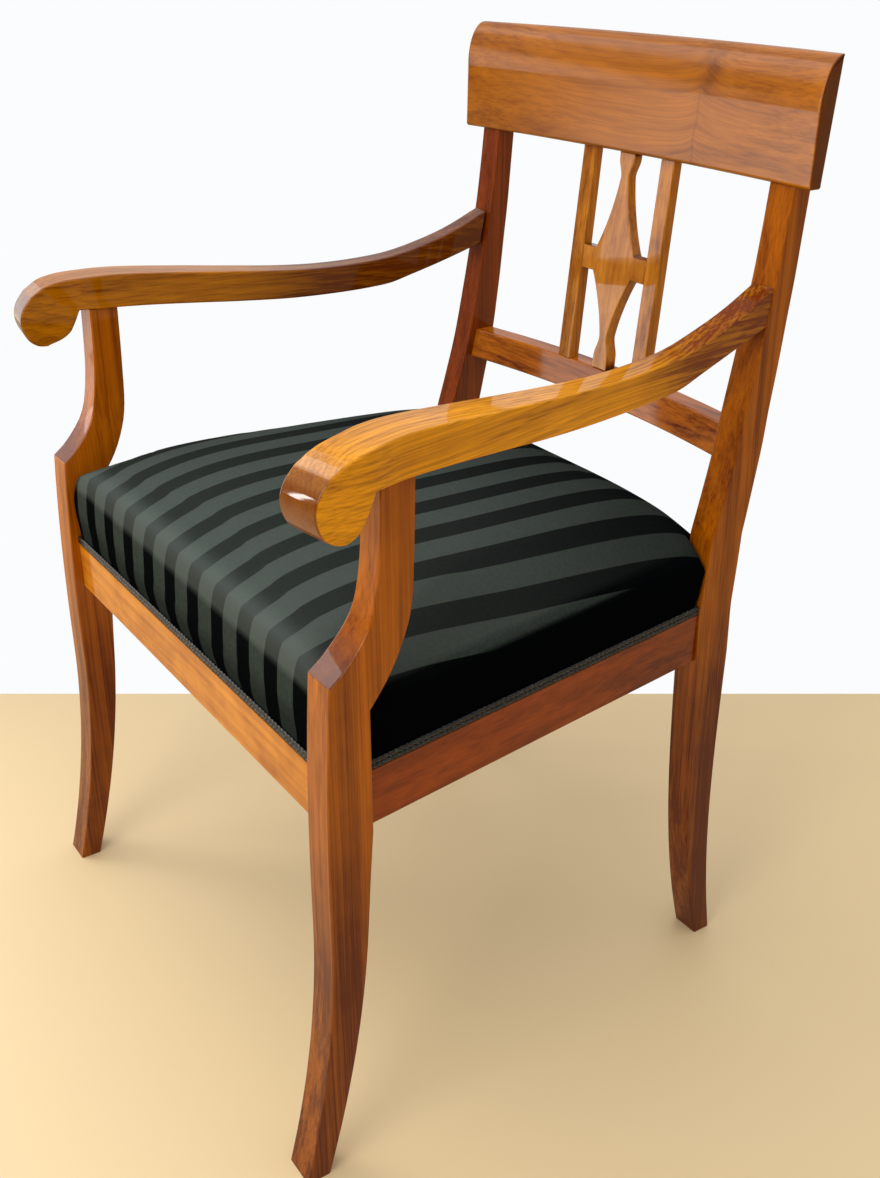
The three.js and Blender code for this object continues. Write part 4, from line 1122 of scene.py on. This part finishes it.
def paint_cover(piece, x, y, z):
    """Across is the signed distance over the cloth from the pad's middle line, as a sum of short chords
    over the crown and then straight down the side, less how far the cloth has crept. Painted shade is a
    share for the sides, one for the front and one for the back, each faded as a smoothstep.
    Painted sheen falls evenly to the back, with a bell curve behind the front edge, above it only."""
    u, v = pad_directions()
    on_side, on_front = np.abs(u) > 0.9999, v < -0.9999
    deep = y[..., None]
    chords = np.abs(x)[..., None] * np.linspace(0, 1, 161)
    crown = pad_height(np.minimum(chords / pad_half_wide(deep), 1), (deep - pad_middle) / pad_half_deep)
    over_crown = np.hypot(np.diff(chords), np.diff(crown)).sum(axis=-1)
    fallen = np.maximum(pad_turn - z, 0) * on_side
    out_of_middle = np.where(z < pad_turn, np.abs(x), over_crown) + fallen
    crept = creep_front + creep_more * smoothstep(y, pad_front, creep_end)
    painted(piece, "across", (np.sign(x) * out_of_middle - crept) * metre)
    # Painted shade: the cover is darkened down its sides, at the foot of its front and towards its back.
    steep = (1 - smoothstep(z, shade_line - shade_fade, shade_line + shade_fade)) * on_side
    upright = front_shade * smoothstep(upright_top - z, 0, upright_fade) * on_front
    leaning = back_shade * smoothstep(y, leaning_start, leaning_end)
    painted(piece, "painted_cloth_shade", np.maximum(np.maximum(steep, upright), leaning))
    # Painted sheen: the cover is painted paler and more matt on the crown, falling to the back, with a
    # band above the front edge.
    sheen_to_back = mix(np.clip(y / pad_back, 0, 1), sheen_front, sheen_back)
    front_bend = bend_sheen * np.exp(-((y - bend_place) / bend_spread) ** 2)
    painted(piece, "painted_sheen", (sheen_to_back + front_bend) * smoothstep(z, sheen_low, sheen_high))


def striped_satin():
    """Dark green-grey stripes in a matt weave beside near-black stripes in a satin weave. The attribute
    across is the distance from a matt stripe, measured over the cloth. A second attribute is painted
    shade: the cloth is painted near black all down the pad's sides, and partly at its front and back. A
    third is a painted sheen: the cloth is painted pale and matt, most above the front edge and less
    towards the back."""
    finish, shader, place = new_finish("striped_satin")
    tree = finish.node_tree
    across, cloth_shade_share, painted_sheen = (add_node(tree, "Attribute", attribute_name=name).outputs["Fac"]
                               for name in ("across", "painted_cloth_shade", "painted_sheen"))
    wave = maths("COSINE", maths("MULTIPLY", across, 2 * np.pi / stripe_period))
    # Painted sheen: where the sheen attribute is high, the satin stripes fade into the matt ones.
    dark = maths("MULTIPLY", between(wave, -0.04, -0.16), maths("SUBTRACT", 1.0, painted_sheen))
    threads = noise(place, 300.0, 4.0)
    matt = blend_colours(threads, colour(37, 44, 41), colour(60, 68, 64))
    # Painted sheen: the matt stripes are painted pale where the sheen attribute is high.
    pale_sheen = blend_colours(painted_sheen, matt, colour(94, 102, 97))
    satin = blend_colours(threads, colour(4, 5, 6), colour(11, 13, 14))
    # Painted shade: the cloth is painted near black where the shade attribute is high.
    shaded_cloth = blend_colours(cloth_shade_share, blend_colours(dark, pale_sheen, satin), colour(5, 6, 8))
    feed(shader, ("Base Color", shaded_cloth), ("Roughness", ramp(dark, 0.0, 1.0, 0.7, 0.38)),
         ("Normal", embossed(woven_at(place, 1500.0)["Height"], 0.25, 0.0002)),
         ("Specular IOR Level", 0.0))
    return finish


trial_shrink, trial_frames, settle_reach = 4, 20, 0.9
cover = pad_grid(0)
pad = skinned("seat_cushion_cover", cover)
carried(pad, *blown_out(pad_grid(trial_shrink), trial_frames), settle_reach)
paint_cover(pad, *cover)
stands_for(pad, striped_satin(), "striped_satin", "seat_cushion")


# Braid. Two black cords, each twisted from two strands, sewn side by side on a tape and glued
# along the foot of the cover, between the legs.

cord_radius = 2.2
cord_deep = 1.4
cord_gap = 4.5
cord_swell = 0.16
twist_pitch = 5.6
rings_to_pitch = 7
gimp_proud = 0.5
gimp_end_gap = 1.0


def braid(name, start, end, out):
    """Two twisted cords along a straight run. Round each cord the radius swells twice in a turn,
    and the swelling goes once round in two pitches, which is a twist of two strands."""
    length = np.linalg.norm(np.subtract(end, start))
    s = np.linspace(0, 1, int(length / twist_pitch * rings_to_pitch) + 1)[:, None]
    turn = np.linspace(0, 2 * np.pi, 13)[:-1]
    phase = s * length / twist_pitch * np.pi
    cords = []
    for row, hand in ((0, 1), (1, -1)):
        swell = 1 + cord_swell * np.cos(2 * (turn - hand * phase))
        outwards = cord_deep * swell * np.cos(turn)
        x, y = (mix(s, start[i], end[i]) + out[i] * outwards for i in (0, 1))
        z = gimp_low + cord_gap * (row + 0.5) + cord_radius * swell * np.sin(turn)
        cords.append(skinned(f"{name}_{row}", (x, y, z)))
    return cords


def black_braid():
    """Black cotton cord: dark strands with pale flecks along the twist, a painted glint."""
    finish, shader, place = new_finish("black_braid")
    strands = noise(place, 700.0, 2.0)
    # Painted glint: sparse pale flecks in the cord's colour stand in for highlights.
    painted_glint = ramp(strands, 0.56, 0.7)
    feed(shader, ("Base Color", blend_colours(painted_glint, colour(6, 6, 7), colour(84, 84, 82))),
         ("Roughness", 0.5), ("Normal", embossed(strands, 0.5, 0.0004)))
    return finish


def gimp_line(y):
    """How far out the middle of the cords runs along a side."""
    return pad_half_wide(y) - pad_proud + gimp_proud - cord_deep


cord_black = black_braid()
slant = np.array([1, side_slope]) / np.hypot(1, side_slope)
runs = []
for name, half, y, out in (
    ("gimp_front", front_leg_inner, pad_front + pad_proud - gimp_proud + cord_deep, -1),
    ("gimp_back", post_inner + float(leg_splay(gimp_top)), pad_back - gimp_proud - cord_deep, 1),
):
    runs.append((name, (gimp_end_gap - half, y), (half - gimp_end_gap, y), (0, out)))
for side, sign in sides:
    span = front_leg_depth + gimp_end_gap, seat_depth - gimp_end_gap
    ends = [(sign * gimp_line(y), y) for y in span]
    runs.append((f"gimp_side_{side}", *ends, slant * [sign, 1]))
for name, *run in runs:
    for cord in braid(f"{name}_cord", *run):
        stands_for(cord, cord_black, "black_braid", name)


# The room: a pale floor that turns white where the wall of the photographer's room stood, soft
# light from a tall window on the left and a fill beside the camera, which stands where theirs did.

floor_half = 9.0
wall_distance = 0.43
camera_turn, camera_tilt = np.radians([55.99, 26.51])
towards_wall = (-np.sin(camera_turn), np.cos(camera_turn), 0)
room_white = colour(251, 252, 253)
corners = ((-1, -1), (1, -1), (1, 1), (-1, 1))
floor_mesh = bpy.data.meshes.new("floor")
floor_mesh.from_pydata([(x * floor_half, y * floor_half, 0) for x, y in corners], [], [(0, 1, 2, 3)])
floor_finish, floor_shader, floor_place = new_finish("pale_floor")
floor_tree = floor_finish.node_tree
feed(floor_shader, ("Base Color", colour(223, 197, 151)), ("Roughness", 0.55))
beyond = maths("GREATER_THAN", vectors("DOT_PRODUCT", floor_place, towards_wall), wall_distance)
floor_seen = add_node(floor_tree, "LightPath").outputs["Is Camera Ray"]
backdrop = add_node(floor_tree, "Emission", ("Color", room_white), ("Strength", 1.0))
shown = add_node(floor_tree, "MixShader", (0, maths("MULTIPLY", beyond, floor_seen)),
                 (1, floor_shader.outputs[0]), (2, backdrop.outputs[0]))
feed(floor_tree.nodes["Material Output"], ("Surface", shown.outputs[0]))
floor_mesh.materials.append(floor_finish)
placed("floor", floor_mesh)

world = bpy.data.worlds.new("room")
world.use_nodes = True
room = world.node_tree
way = add_node(room, "TexCoord").outputs["Generated"]
ceiling_light = between(split(way)[2], 0.12, 0.5, 0.08, 0.85)
wall_light = between(vectors("DOT_PRODUCT", way, towards_wall), 0.35, 0.75, 0.08, 0.85)
seen = add_node(room, "LightPath").outputs["Is Camera Ray"]
strength = add_node(room, "Mix", (0, seen), (2, maths("MAXIMUM", wall_light, ceiling_light)),
                    (3, 1.0), data_type="FLOAT")
feed(room.nodes["Background"], ("Color", room_white), ("Strength", strength.outputs[0]))
bpy.context.scene.world = world


def soft_light(name, spot, aim, size, watts, tint):
    """A soft rectangular lamp at a spot, turned to face the aim."""
    data = bpy.data.lights.new(name, "AREA")
    data.shape = "RECTANGLE"
    data.size, data.size_y = size
    data.energy = watts
    data.color = colour(*tint)[:3]
    lamp = placed(name, data)
    lamp.location = spot
    lamp.rotation_euler = (Vector(aim) - Vector(spot)).to_track_quat("-Z", "Y").to_euler()


soft_light("window", (-2.45, -0.68, 1.6), (0, 0, 1.6), (1.1, 3.1), 12, (255, 253, 250))
soft_light("wall_glow", (-1.137, -0.915, 1.7), (-0.308, -1.474, 1.7), (1.01, 2.8), 30, (255, 253, 250))
soft_light("door_gap", (-1.19, -2.0, 0.9), (0.3, -0.27, 0.9), (0.05, 0.5), 2.4, (255, 253, 250))
soft_light("ceiling", (-0.5, -0.6, 3.2), (0, 0, 0.5), (3.6, 3.6), 27, (255, 252, 248))
soft_light("camera_fill", (0.85, -2.2, 1.7), (0, 0, 0.55), (1.3, 1.3), 23, (255, 252, 248))

camera_data = bpy.data.cameras.new("camera")
camera_data.sensor_width = 36.0
camera_data.lens = 40.61
camera_data.clip_start = 0.01
camera = placed("camera", camera_data)
camera.location = (1.033, -0.653, 0.993)
forward = Vector((*(np.array(towards_wall[:2]) * np.cos(camera_tilt)), -np.sin(camera_tilt)))
camera.rotation_euler = forward.to_track_quat("-Z", "Y").to_euler()
bpy.context.scene.camera = camera
bpy.context.scene.view_settings.view_transform = "Standard"
